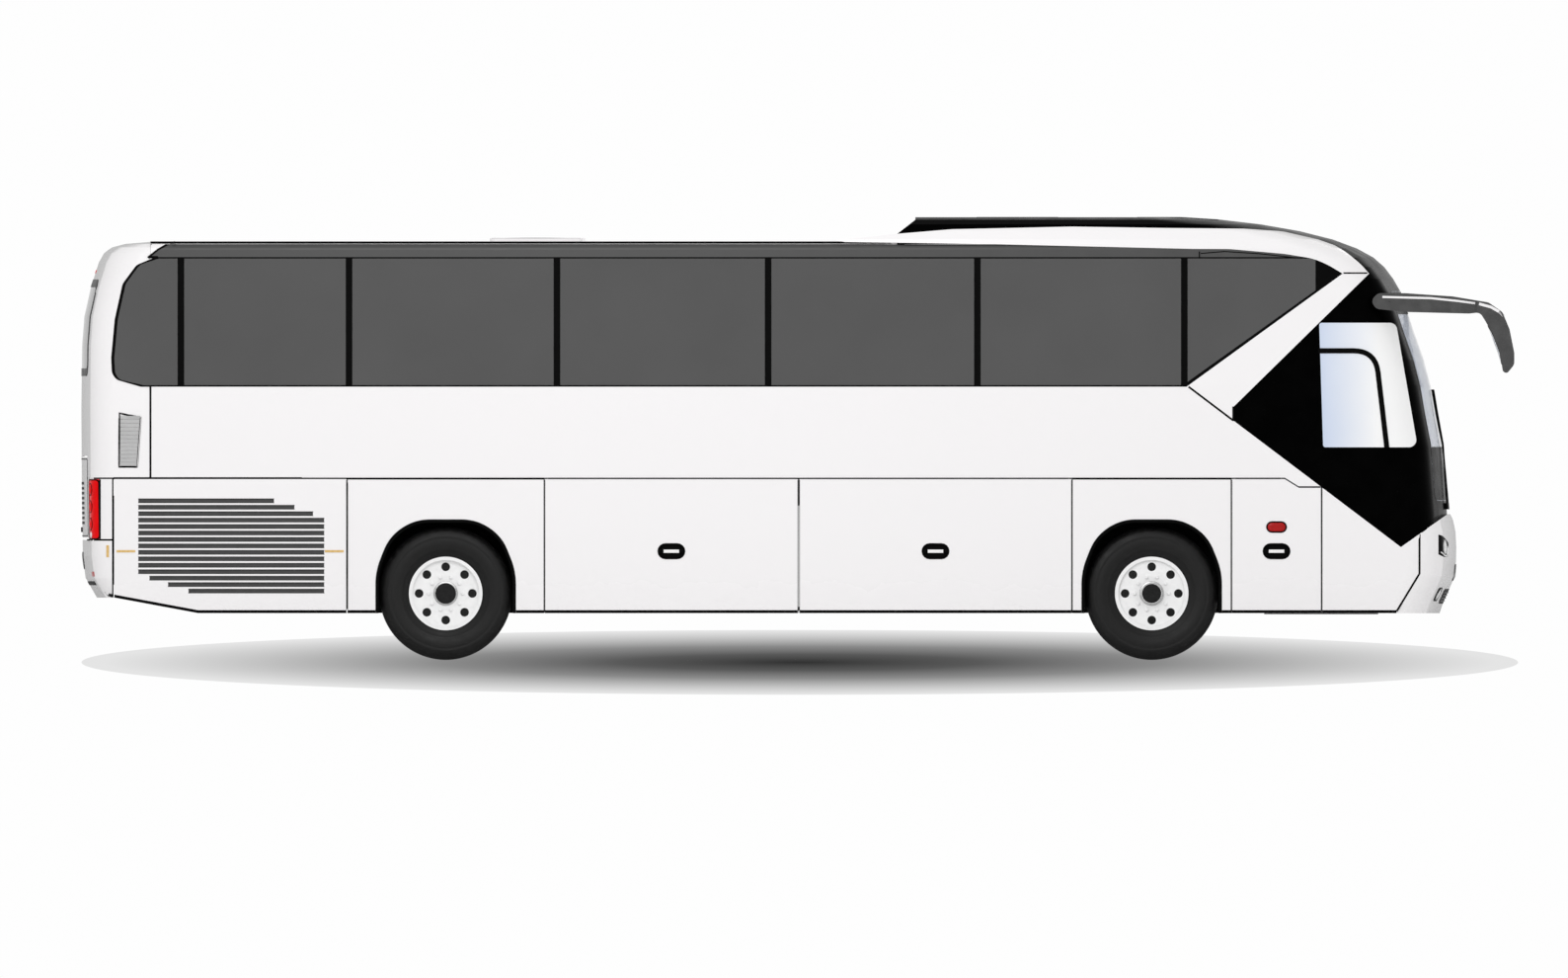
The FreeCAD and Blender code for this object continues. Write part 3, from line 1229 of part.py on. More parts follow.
def wipers():
    """Two blades that follow the windscreen, on arms from the mask below it."""
    over = cab_form(-WIPER_OFFSET - WIPER_T, CAB_WIPER_LEVELS)
    above = over.cut(cab_form(-WIPER_OFFSET, CAB_WIPER_LEVELS))
    on_mask = over.cut(cab_form(0.0, CAB_WIPER_LEVELS))
    return [wiper(above, on_mask, y) for y in (-WIPER_Y, WIPER_LEFT_Y)]


def wiper(above, on_mask, y):
    z = WIPER_Z
    blade = [(y, z), (y + WIPER_W, z), (y + WIPER_W + WIPER_LEAN, z + WIPER_L),
             (y + WIPER_LEAN, z + WIPER_L)]
    foot = rect(y - WIPER_W, y + WIPER_W * 2, WIPER_FOOT_Z - WIPER_W, WIPER_FOOT_Z + WIPER_W)
    arm = rect(y, y + WIPER_W, WIPER_FOOT_Z, z + WIPER_W)
    return union([above.common(union([at_nose(blade), at_nose(arm)])), on_mask.common(at_nose(foot))])


# Entrance door

def entrance_door():
    door = CAB_SHELL.common(on_left(door_outline(0.0)))
    pockets = []
    for outline in door_panes():
        x0, x1, z0, z1 = outline
        pocket = rect(x0 - PANE_GAP, x1 + PANE_GAP, z0 - PANE_GAP, z1 + PANE_GAP)
        pockets.append(CAB_POCKET_SHELL.common(on_left(pocket)))
        pockets.append(on_left(rect(x0 + PANE_LAP, x1 - PANE_LAP, z0 + PANE_LAP, z1 - PANE_LAP, PANE_LAP)))
    for pocket in pockets:
        door = door.cut(pocket)
    x = door_pin_x()
    lug = box(x - DOOR_LUG_W / 2, x + DOOR_LUG_W / 2, ARM_Y - DOOR_EYE_R, WALL_Y + HINGE_WEB,
              ARM_Z - DOOR_LUG_T, ARM_Z - LUG_GAP)
    pin = rod(DOOR_PIN_R, V(x, ARM_Y, ARM_Z - DOOR_LUG_T), V(x, ARM_Y, ARM_Z + ARM_H))
    return union([door, lug, pin])


def door_panes():
    x0, x1 = DOOR_X0 + DOOR_RAIL, DOOR_X1 - DOOR_RAIL
    return [(x0, x1, DOOR_MID_Z1, DOOR_Z1 - DOOR_RAIL), (x0, x1, DOOR_Z0 + DOOR_RAIL * 2, DOOR_MID_Z0)]


def door_glass():
    return [CAB_GLASS_SHELL.common(on_left(rect(x0, x1, z0, z1))) for x0, x1, z0, z1 in door_panes()]


def door_pin_x():
    return DOOR_X1 - ARM_BACK - ARM_L


def door_arm():
    """The arm that swings the door out, on a sleeve round the post inside the doorway."""
    x0, x1 = door_pin_x(), DOOR_X1 - ARM_BACK
    bar = box(x0, x1, ARM_Y - ARM_W / 2, ARM_Y + ARM_W / 2, ARM_Z, ARM_Z + ARM_H)
    sleeve = rod(SLEEVE_R, V(x1, ARM_Y, ARM_Z), V(x1, ARM_Y, ARM_Z + ARM_H))
    eye = rod(DOOR_EYE_R, V(x0, ARM_Y, ARM_Z), V(x0, ARM_Y, ARM_Z + ARM_H))
    arm = union([bar, sleeve, eye])
    for x, r in ((x1, POST_R), (x0, DOOR_PIN_R)):
        arm = arm.cut(rod(r + SHAFT_CLEARANCE, V(x, ARM_Y, ARM_Z - OVERRUN), V(x, ARM_Y, ARM_Z + OVERRUN)))
    return arm


# Chassis and floors

def rail_lines():
    """Each chassis rail as its rear end, its front end and its inner face."""
    lines = [(REAR_X + RAIL_REAR, BAY_X0, side * RAIL_Y) for side in (RIGHT, LEFT)]
    lines += [(BAY_X1, RAIL_FRONT_X, LEFT * RAIL_Y), (BAY_X1, NOSE_FRAME_X, RIGHT * RAIL_Y)]
    return lines


def chassis_frame():
    """The two ladders of rails and cross-members, before and behind the luggage hold."""
    top = RAIL_Z0 + RAIL_H
    pieces = []
    for x0, x1, y in rail_lines():
        side = LEFT if y > 0 else RIGHT
        pieces.append(box(x0, x1, y, y + side * RAIL_W, RAIL_Z0, top))
    pieces.append(box(RAIL_FRONT_X - CROSS_W, NOSE_FRAME_X, NOSE_FRAME_LEFT_Y, NOSE_FRAME_LEFT_Y + RAIL_W,
                      RAIL_Z0, top))
    pieces.append(box(NOSE_FRAME_X - CROSS_W, NOSE_FRAME_X, -NOSE_CROSS_HALF, NOSE_CROSS_HALF, RAIL_Z0,
                      top))
    for x in (REAR_X + RAIL_REAR, REAR_AXLE_X - SPRING_ARM_HALF, BAY_X0 - CROSS_W, BAY_X1,
              FRONT_AXLE_X + SPRING_ARM_HALF, RAIL_FRONT_X - CROSS_W):
        pieces.append(box(x, x + CROSS_W, -RAIL_Y, RAIL_Y, RAIL_Z0, top))
    for side in (RIGHT, LEFT):
        for x in (BAY_X0 - PAD_BACK, BAY_X1 + PAD_BACK):
            y = side * (RAIL_Y + RAIL_W / 2)
            pieces.append(rod(PAD_R, V(x, y, RAIL_Z0 - PAD_H), V(x, y, RAIL_Z0)))
    pieces.append(tow_lug(NOSE_FRAME_X, FRONT, FRONT_LUG_Z))
    pieces.append(tow_lug(REAR_X + RAIL_REAR, REAR, REAR_LUG_Z))
    return union(pieces).Solids


def floor_posts():
    """The uprights from the rails to the saloon floor, with a beam across the hold on each side."""
    foot, top = RAIL_Z0 + RAIL_H, FLOOR_Z - DECK_T
    posts = []
    for side in (RIGHT, LEFT):
        y0, y1 = side * RAIL_Y, side * (RAIL_Y + RAIL_W)
        for x in (REAR_X + RAIL_REAR, REAR_AXLE_X - SPRING_ARM_HALF, RISER_X - CAB_FLOOR_T - CROSS_W):
            posts.append(box(x, x + CROSS_W, y0, y1, foot, top))
        span = box(BAY_X0 - CROSS_W, BAY_X1 + CROSS_W, y0, y1, top - CROSS_W, top)
        ends = [box(x, x + CROSS_W, y0, y1, foot, top) for x in (BAY_X0 - CROSS_W, BAY_X1)]
        posts.append(union([span] + ends))
    return posts


def wheel_housing(x0, x1):
    """The lining of a right wheel arch: a roof, two ends and an inner wall, open at the springs."""
    y0, y1, t = -WALL_Y, -RAIL_Y - RAIL_W, HOUSING_T
    shell = box(x0, x1, y0, y1, HOUSING_FOOT_Z, HOUSING_TOP_Z).cut(
        box(x0 + t, x1 - t, y0 - OVERRUN, y1 - t, HOUSING_FOOT_Z - OVERRUN, HOUSING_TOP_Z - t))
    return shell.cut(box(x0 + HOUSING_LEG, x1 - HOUSING_LEG, y1 - t * 2, y1 + t, HOUSING_FOOT_Z - OVERRUN,
                         RAIL_Z0))


def wheel_housings():
    rear = wheel_housing(REAR_AXLE_X - REAR_HOUSING_HALF, REAR_AXLE_X + REAR_HOUSING_HALF)
    front = wheel_housing(BAY_X1, FRONT_AXLE_X + FRONT_HOUSING_REACH)
    return pair(rear) + pair(front)


def tow_lug(x, facing, z):
    """A post under the end cross-member with a flat plate, bored upright for a towing pin."""
    half = LUG_PLATE_W / 2
    post = box(x - facing * LUG_POST, x, -half, half, z, RAIL_Z0 + RAIL_H / 2)
    tip = x + facing * LUG_PLATE_L
    plate = prism_z([(x - facing * LUG_POST, -half), (tip, -half, LUG_EDGE), (tip, half, LUG_EDGE),
                     (x - facing * LUG_POST, half)], z, z + LUG_PLATE_T)
    eye_x = tip - facing * LUG_EDGE * 1.3
    bore = rod(LUG_BORE_R, V(eye_x, 0, z - OVERRUN), V(eye_x, 0, z + LUG_PLATE_T + WALL_T))
    return union([post, plate]).cut(bore)


def luggage_bay():
    y = WALL_Y - BAY_SIDE_GAP
    return union([
        box(BAY_X0, BAY_X1, -y, y, BAY_FLOOR_Z, BAY_FLOOR_Z + BAY_FLOOR_T),
        box(BAY_X0, BAY_X0 + BULKHEAD_T, -y, y, BAY_FLOOR_Z, FLOOR_Z - DECK_T - CROSS_W),
        box(BAY_X1 - BULKHEAD_T, BAY_X1, -y, y, BAY_FLOOR_Z, FLOOR_Z - DECK_T - CROSS_W),
    ])


def floor_deck():
    """The saloon floor with its sill beams, the hump over the engine and the lower cab floor."""
    deck = box(DECK_REAR_X, RISER_X, -WALL_Y, WALL_Y, FLOOR_Z - DECK_T, FLOOR_Z)
    beams = [box(REAR_CAP_X, BELT_STEP_X if side == RIGHT else DOOR_X0 - DOOR_GAP * 3, side * WALL_Y,
                 side * (WALL_Y - SILL_BEAM_T), FLOOR_Z - DECK_T,
                 SILL_BEAM_TOP_Z) for side in (RIGHT, LEFT)]
    wall = box(DECK_REAR_X, DECK_REAR_X + HUMP_T, -WALL_Y, WALL_Y, FLOOR_Z - DECK_T, HUMP_Z)
    shelf = box(REAR_X, DECK_REAR_X + HUMP_T, -WALL_Y, WALL_Y, HUMP_Z - HUMP_T, HUMP_Z)
    hump = union([wall, shelf]).common(TAIL_IN)
    riser = box(RISER_X - CAB_FLOOR_T, RISER_X, -WALL_Y, WALL_Y, CAB_FLOOR_Z - CAB_FLOOR_T, FLOOR_Z)
    cab = box(RISER_X - CAB_FLOOR_T, DASH_FLOOR_X, -WALL_Y, WALL_Y, CAB_FLOOR_Z - CAB_FLOOR_T, CAB_FLOOR_Z)
    well = box(DOOR_X0 - DOOR_GAP, DOOR_X1 + DOOR_GAP, STEP_Y0, HALF_W, SKIRT_Z, FLOOR_Z)
    return union([deck] + beams + [hump, riser, cab.common(CAB_IN).cut(well)])


def entrance_steps():
    """The stair inside the door: three folded treads between two side plates."""
    treads = []
    y, z = STEP_Y1, STEP_LOW_Z
    first = STEP_Y1 - (STEP_Y0 + 3 * STEP_GOING)
    top, under = [(y, z - STEP_T), (y, z)], []
    y -= first
    for i in range(3):
        top += [(y, z), (y, z + STEP_RISE)]
        under += [(y - STEP_T, z - STEP_T), (y - STEP_T, z + STEP_RISE - STEP_T)]
        z += STEP_RISE
        y -= STEP_GOING
    top.append((STEP_Y0, z))
    under.append((STEP_Y0, z - STEP_T))
    stair = prism_x(top + list(reversed(under)), DOOR_X0 - DOOR_GAP, DOOR_X1 + DOOR_GAP)
    sides = [prism_x([(STEP_Y1, STEP_LOW_Z - STEP_T), (STEP_Y1, CAB_FLOOR_Z), (STEP_Y0, CAB_FLOOR_Z),
                      (STEP_Y0, z - STEP_T), (STEP_Y1 - first - STEP_T, STEP_LOW_Z - STEP_T)], x,
                      x + STEP_T)
             for x in (DOOR_X0 - DOOR_GAP, DOOR_X1 + DOOR_GAP - STEP_T)]
    post = rod(POST_R, V(DOOR_X1 - ARM_BACK, ARM_Y, STEP_LOW_Z), V(DOOR_X1 - ARM_BACK, ARM_Y, POST_TOP_Z))
    collar = rod(SLEEVE_R, V(DOOR_X1 - ARM_BACK, ARM_Y, ARM_Z - LUG_GAP - ARM_H),
                 V(DOOR_X1 - ARM_BACK, ARM_Y, ARM_Z - LUG_GAP))
    return union([stair] + sides + [post, collar])


# Wheels

def wheel_outline(shares, from_r, to_r, half):
    """An outline from shares of the tyre's half width and of its height over the bead."""
    right = [(half * a, from_r + (to_r - from_r) * b) for a, b in shares]
    return right + [(-u, r) for u, r in reversed(right)]


def tyre(x, y, outboard):
    half = TYRE_W / 2
    outer = wheel_outline(TYRE_PROFILE_SHARES, BEAD_R + SEAT_GAP, TYRE_R, half)
    inner = wheel_outline(TYRE_CAVITY_SHARES, BEAD_R + SEAT_GAP, TYRE_R, half)
    return turned(outer + list(reversed(inner)), V(x, y, TYRE_R), V(0, outboard, 0))


def rim_barrel(centre, axis):
    """The drop-centre barrel: flanges, bead seats and the well between them."""
    b, f = RIM_W / 2, RIM_FLANGE
    ramp = WELL_HALF + WELL_RAMP
    outer = [(b, RIM_R), (b - f, RIM_R), (b - f, BEAD_R), (ramp, BEAD_R), (WELL_HALF, WELL_R)]
    inner = [(WELL_HALF - RIM_T / 2, WELL_R - RIM_T), (ramp - RIM_T / 2, BEAD_R - RIM_T),
             (b, BEAD_R - RIM_T)]
    outline = outer + [(-u, r) for u, r in reversed(outer)] + [(-u, r) for u, r in reversed(inner)] + inner
    return turned(outline, centre, axis)


def rim_disc(centre, axis, foot, face, face_r, bore_r):
    """The dished disc from the barrel to the hub, with its hand holes."""
    s = 1.0 if face > foot else -1.0
    r1 = BEAD_R - RIM_T / 2
    outline = [(foot - s * DISC_T / 2, r1), (foot + s * DISC_T / 2, r1), (face, face_r), (face, bore_r),
               (face - s * DISC_T, bore_r), (face - s * DISC_T, face_r)]
    return turned(outline, centre, axis)


def hand_holes(centre, axis, u0, u1):
    holes = []
    for i in range(HAND_HOLES):
        a = 2 * math.pi * i / HAND_HOLES
        at = centre + V(HAND_HOLE_CIRCLE_R * math.sin(a), 0, HAND_HOLE_CIRCLE_R * math.cos(a))
        holes.append(rod(HAND_HOLE_R, at + axis * u0, at + axis * u1))
    return Part.makeCompound(holes)


def front_rim(side):
    centre, axis = V(FRONT_AXLE_X, side * FRONT_TRACK_HALF, TYRE_R), V(0, side, 0)
    disc = rim_disc(centre, axis, DISC_FOOT + DISC_T / 2, DISC_FACE, DISC_FACE_R, HUB_CAP_R)
    disc = disc.cut(hand_holes(centre, axis, WELL_HALF + WELL_RAMP, RIM_W))
    hub = turned([(-HUB_BACK, 0), (-HUB_BACK, HUB_R), (DISC_FACE - DISC_T / 2, HUB_R),
                  (DISC_FACE, HUB_CAP_R),
                  (DISC_FACE + HUB_CAP_L, HUB_CAP_R), (DISC_FACE + HUB_CAP_L, 0)], centre, axis)
    bore = rod(SPINDLE_R + SHAFT_CLEARANCE, centre - axis * (HUB_BACK + OVERRUN),
               centre + axis * (DISC_FACE - DISC_T))
    return union([rim_barrel(centre, axis), disc, hub]).cut(bore)


def rear_rims(side):
    axis = V(0, side, 0)
    outer = V(REAR_AXLE_X, side * REAR_TRACK_HALF, TYRE_R)
    inner = V(REAR_AXLE_X, side * (REAR_TRACK_HALF - TWIN_SPACING), TYRE_R)
    mate = TWIN_SPACING / 2
    foot = DISC_FOOT + DISC_T / 2
    disc = rim_disc(outer, axis, -foot, -mate, TWIN_DISC_FACE_R, HUB_CAP_R)
    disc = disc.cut(hand_holes(outer, axis, -RIM_W, -WELL_HALF - WELL_RAMP))
    hub = turned([(-mate - HUB_BACK * 2, 0), (-mate - HUB_BACK * 2, HUB_R), (-HUB_BACK, HUB_R),
                  (-HUB_BACK, HUB_CAP_R),
                  (HUB_CAP_L, HUB_CAP_R), (HUB_CAP_L, 0)], outer, axis)
    bore = rod(REAR_SPINDLE_R + SHAFT_CLEARANCE, outer - axis * (mate + HUB_BACK * 2 + OVERRUN),
               outer - axis * HUB_BACK)
    outer_rim = union([rim_barrel(outer, axis), disc, hub]).cut(bore)
    twin = rim_disc(inner, axis, foot, mate - SEAT_GAP, TWIN_DISC_FACE_R, HUB_R + SEAT_GAP)
    twin = twin.cut(hand_holes(inner, axis, WELL_HALF + WELL_RAMP, RIM_W))
    return [outer_rim, union([rim_barrel(inner, axis), twin])]


def front_axle():
    """The drop beam, cranked up to an eye for each kingpin."""
    eye_z0, eye_z1 = TYRE_R - EYE_HALF, TYRE_R + EYE_HALF
    half = [(KINGPIN_Y, eye_z0 + EYE_R / 3), (KINGPIN_Y, eye_z1 - EYE_R / 3),
            (BEAM_RISE_Y, eye_z1 - EYE_R / 3, EYE_R),
            (BEAM_BEND_Y, BEAM_TOP_Z, EYE_R)]
    low = [(BEAM_BEND_Y + EYE_R / 2, BEAM_LOW_Z, EYE_R),
           (BEAM_RISE_Y + EYE_R / 2, eye_z0 + EYE_R / 3, EYE_R)]
    right = [(-p[0],) + p[1:] for p in half]
    outline = [low[1], half[0], half[1], half[2], half[3], right[3], right[2], right[1], right[0],
               (-low[1][0],) + low[1][1:], (-low[0][0],) + low[0][1:], low[0]]
    beam = prism_x(outline, FRONT_AXLE_X - BEAM_HALF_W, FRONT_AXLE_X + BEAM_HALF_W)
    eyes = [rod(EYE_R, V(FRONT_AXLE_X, s * KINGPIN_Y, eye_z0),
                V(FRONT_AXLE_X, s * KINGPIN_Y, eye_z1)) for s in (RIGHT, LEFT)]
    beam = beam.cut(box(FRONT_AXLE_X - OVERRUN, FRONT_AXLE_X + OVERRUN, KINGPIN_Y, KINGPIN_Y + OVERRUN, 0,
                        ROOF_Z))
    axle = union([beam] + eyes)
    for s in (RIGHT, LEFT):
        axle = axle.cut(rod(KINGPIN_R + SHAFT_CLEARANCE, V(FRONT_AXLE_X, s * KINGPIN_Y, eye_z0 - OVERRUN),
                            V(FRONT_AXLE_X, s * KINGPIN_Y, eye_z1 + OVERRUN)))
    return axle


def knuckle(side):
    """The steered fork: a kingpin between two lugs, a yoke outboard of the eye, and the spindle."""
    x, y = FRONT_AXLE_X, side * KINGPIN_Y
    low, high = TYRE_R - EYE_HALF - LUG_GAP, TYRE_R + EYE_HALF + LUG_GAP
    pieces = [rod(KINGPIN_R, V(x, y, low - LUG_T), V(x, y, high + LUG_T))]
    for z0, z1 in ((low - LUG_T, low), (high, high + LUG_T)):
        pieces.append(rod(EYE_R, V(x, y, z0), V(x, y, z1)))
        pieces.append(box(x - EYE_R, x + EYE_R, y, y + side * LUG_REACH, z0, z1))
    yoke_y = y + side * (LUG_REACH - YOKE_T)
    pieces.append(box(x - EYE_R, x + EYE_R, yoke_y, y + side * LUG_REACH, low - LUG_T, high + LUG_T))
    tip = FRONT_TRACK_HALF + DISC_FACE - DISC_T * 2
    pieces.append(rod(SPINDLE_R, V(x, y + side * (LUG_REACH - YOKE_T / 2), TYRE_R),
                      V(x, side * tip, TYRE_R)))
    return union(pieces)


def rear_axle():
    tube = rod(AXLE_TUBE_R, V(REAR_AXLE_X, -AXLE_HALF, TYRE_R), V(REAR_AXLE_X, AXLE_HALF, TYRE_R))
    diff = turned([(-DIFF_W / 2, 0), (-DIFF_W / 2, DIFF_R * 0.7), (-DIFF_W / 4, DIFF_R),
                   (DIFF_W / 4, DIFF_R),
                   (DIFF_W / 2, DIFF_R * 0.7), (DIFF_W / 2, 0)], V(REAR_AXLE_X, 0, TYRE_R), ALONG_Y)
    end = REAR_TRACK_HALF - HUB_BACK - DISC_T
    spindle = rod(REAR_SPINDLE_R, V(REAR_AXLE_X, -end, TYRE_R), V(REAR_AXLE_X, end, TYRE_R))
    return union([tube, diff, spindle])


def springs():
    """Air bellows: one each side on the front beam, two each side on the rear axle's trailing beams."""
    y = RAIL_Y + RAIL_W / 2
    bellows, arms = [], []
    arm_top = TYRE_R - AXLE_TUBE_R
    for s in (RIGHT, LEFT):
        bellows.append(bellow(FRONT_AXLE_X, s * y, BEAM_TOP_Z))
        beam = box(REAR_AXLE_X - SPRING_ARM_HALF, REAR_AXLE_X + SPRING_ARM_HALF,
                   s * RAIL_Y, s * (RAIL_Y + RAIL_W), arm_top - SPRING_ARM_T, arm_top)
        ends = [bellow(REAR_AXLE_X + d * SPRING_OFFSET, s * y, arm_top) for d in (REAR, FRONT)]
        arms.append(union([beam] + ends))
    return bellows + arms


def bellow(x, y, z):
    """A rubber bellows with a waist, up to the rail."""
    h = RAIL_Z0 - z
    return turned([(0, 0), (0, SPRING_R * 0.8), (h * 0.25, SPRING_R), (h * 0.5, SPRING_R * 0.8),
                   (h * 0.75, SPRING_R), (h, SPRING_R * 0.8), (h, 0)], V(x, y, z), ALONG_Z)


# Cabin

def seat(x, y0, y1, floor_z):
    """A seat block: a pedestal, a cushion and a leaning back, in one side outline."""
    cushion_z = floor_z + SEAT_BASE_H
    back_x = x - SEAT_CUSHION_L
    r = SEAT_EDGE_R
    outline = [(x - SEAT_BASE_L / 3, floor_z), (x - SEAT_BASE_L / 3, cushion_z), (x, cushion_z, r),
               (x, cushion_z + SEAT_CUSHION_T, r), (back_x + SEAT_BACK_T, cushion_z + SEAT_CUSHION_T, r),
               (back_x + SEAT_BACK_T - SEAT_BACK_LEAN, floor_z + SEAT_BACK_H, r),
               (back_x - SEAT_BACK_LEAN, floor_z + SEAT_BACK_H, r), (back_x, cushion_z, r),
               (x - SEAT_BASE_L / 3 - SEAT_BASE_L, cushion_z), (x - SEAT_BASE_L / 3 - SEAT_BASE_L, floor_z)]
    return prism_y(outline, y0, y1)


def passenger_seats():
    seats = []
    for i in range(SEAT_ROWS):
        x = SEAT_FIRST_X - i * SEAT_PITCH
        seats += [seat(x, side * SEAT_INNER_Y, side * SEAT_OUTER_Y, FLOOR_Z) for side in (RIGHT, LEFT)]
    return seats


def dashboard():
    low = CAB_FLOOR_Z
    outline = [(DASH_X0, low), (DASH_X0, DASH_TOP_Z - DASH_DROP, SEAT_EDGE_R),
               (DASH_X0 + DASH_FACE, DASH_TOP_Z, SEAT_EDGE_R),
               (DASH_NOSE_X, DASH_TOP_Z - DASH_DROP), (DASH_NOSE_X, low + DASH_DROP * 2),
               (DASH_FLOOR_X - DASH_DROP, low)]
    block = prism_y(outline, -DASH_HALF, DASH_HALF).common(CAB_IN)
    side_room = box(DASH_X0 - OVERRUN, DOOR_X1 + DOOR_GAP * 3, STEP_Y0 - WALL_T, HALF_W, SKIRT_Z, ROOF_Z)
    return block.cut(side_room)


def steering_wheel():
    """The ring, its two spokes and the column down into the dashboard's face."""
    lean = COLUMN_LEAN_SHARE
    axis = V(-lean, 0, 1)
    axis.normalize()
    foot = V(DASH_X0, DRIVER_Y, DASH_TOP_Z - DASH_DROP * 2)
    centre = foot + axis * COLUMN_L
    ring = Part.makeTorus(WHEEL_RING_R, WHEEL_RING_T, centre, axis)
    spoke = rod(SPOKE_W / 2, centre - V(0, WHEEL_RING_R, 0), centre + V(0, WHEEL_RING_R, 0))
    column = rod(COLUMN_R, foot, centre)
    column = column.cut(box(DASH_X0, DASH_NOSE_X, DRIVER_Y - OVERRUN, DRIVER_Y + OVERRUN, CAB_FLOOR_Z,
                            DASH_TOP_Z))
    return union([ring, spoke, column])


def luggage_rack():
    """A shelf along the right wall, hung from the cove over the windows."""
    x0, x1 = REAR_CAP_X + RACK_END, POD_X - RACK_END
    wall0, wall1 = -side_y(RACK_Z0, WALL_T), -side_y(RACK_Z0 + RACK_T, WALL_T)
    inner = wall0 + RACK_DEEP
    outline = [(wall0, RACK_Z0), (inner, RACK_Z0), (inner, RACK_Z0 + RACK_LIP),
               (inner - RACK_T / 2, RACK_Z0 + RACK_LIP),
               (inner - RACK_T / 2, RACK_Z0 + RACK_T), (wall1, RACK_Z0 + RACK_T)]
    return prism_x(outline, x0, x1)


def engine():
    """The engine with its gearbox, lying along the rear rails, and the radiator behind its grille."""
    x0 = REAR_X + RAIL_REAR + CROSS_W + WALL_T
    block = box(x0, x0 + ENGINE_L, -RAIL_Y, RAIL_Y, ENGINE_Z0, ENGINE_Z0 + ENGINE_H)
    box_z = ENGINE_Z0 + GEARBOX_H / 4
    gearbox = box(x0 + ENGINE_L, x0 + ENGINE_L + GEARBOX_L, -GEARBOX_HALF, GEARBOX_HALF, box_z,
                  box_z + GEARBOX_H)
    y = -WALL_Y + RADIATOR_IN
    rx = REAR_CORNER_X + GRILLE_REAR
    top = FLOOR_Z - DECK_T
    radiator = box(rx, rx + RADIATOR_L, y, y + RADIATOR_T, top - RADIATOR_H, top)
    return union([block, gearbox]), radiator


# Moving panels

def roof_hatch():
    """A flat lid in the roof, level with it, on the hinge at its front edge."""
    g = HALF_GAP
    outline = rect(HATCH_X + g, HATCH_X + HATCH_L - g, -HATCH_HALF + g, HATCH_HALF - g, HATCH_R - g)
    lid = prism_z(outline, ROOF_Z - WALL_T, ROOF_Z + HATCH_LIP)
    hollow = rect(HATCH_X + HATCH_R, HATCH_X + HATCH_L - HATCH_R, -HATCH_HALF + HATCH_R,
                  HATCH_HALF - HATCH_R, g)
    return lid.cut(prism_z(hollow, ROOF_Z - WALL_T - OVERRUN, ROOF_Z))


def pair(shape):
    """A right-hand piece and its mirror image, which share a node."""
    return [shape, mirrored(shape)]


def build_body():
    frame, panes = window_frame_and_panes()
    waist, tongues = waist_panel()
    hinges = [top_hinge(REAR_PANEL_X1, FRONT_PANEL_X0)]
    right_waist = union([waist] + tongues + hinges + [top_hinge(FRONT_PANEL_X1, BELT_STEP_X)])
    left_waist = mirrored(union([waist] + tongues + hinges)).cut(doorway())
    export("window_frames", *pair(frame))
    export("side_glass", *(panes + [mirrored(p) for p in panes]))
    export("waist_panels", right_waist, left_waist)
    export("roof_coves", *pair(cove()))
    export("roof_cheeks", *pair(roof_cheek()))
    export("roof_pod", roof_pod())
    export("roof_panel", roof_panel())
    rear_arch = union([arch_panel(REAR_PANEL_X0, REAR_PANEL_X1, REAR_AXLE_X), side_hinge()])
    right_arch = arch_panel(FRONT_PANEL_X0, FRONT_PANEL_X1, FRONT_AXLE_X)
    left_arch = arch_panel(FRONT_PANEL_X0, DOOR_X0 - DOOR_GAP, FRONT_AXLE_X)
    export("arch_panels", rear_arch, mirrored(rear_arch), right_arch, mirrored(left_arch))
    band = cab_band()
    export("cab_bands", band, mirrored(band).cut(doorway()))


def build_ends():
    export("rear_cap", rear_cap())
    export("rear_window", TAIL_GLASS_SHELL.common(at_tail(rear_glass_outline(0.0))))
    export("rear_bumper", rear_bumper())
    export("tail_lamps", *pair(tail_lamp()))
    export("front_mask", front_mask())
    export("windscreen", windscreen())
    export("cab_glass", cab_glass())
    export("front_bumper", front_bumper())
    export("front_corners", front_corner(SERVICE_X1), mirrored(front_corner(DOOR_X1 + DOOR_GAP)))
    export("headlamps", *pair(headlamp()))
    export("mirrors", *pair(mirror()))
    export("wipers", *wipers())


def build_under():
    export("chassis_frame", *chassis_frame())
    export("floor_posts", *floor_posts())
    export("wheel_housings", *wheel_housings())
    export("floor_deck", floor_deck())
    export("luggage_bay", luggage_bay())
    export("entrance_steps", entrance_steps())
    export("front_axle", front_axle())
    export("rear_axle", rear_axle())
    export("air_springs", *springs())
    export("engine", *engine())


def build_cabin():
    export("passenger_seats", *passenger_seats())
    export("driver_seat", seat(DRIVER_X, DRIVER_Y - DRIVER_HALF, DRIVER_Y + DRIVER_HALF, CAB_FLOOR_Z))
    export("dashboard", dashboard())
    export("steering_wheel", steering_wheel())
    export("luggage_racks", *pair(luggage_rack()))


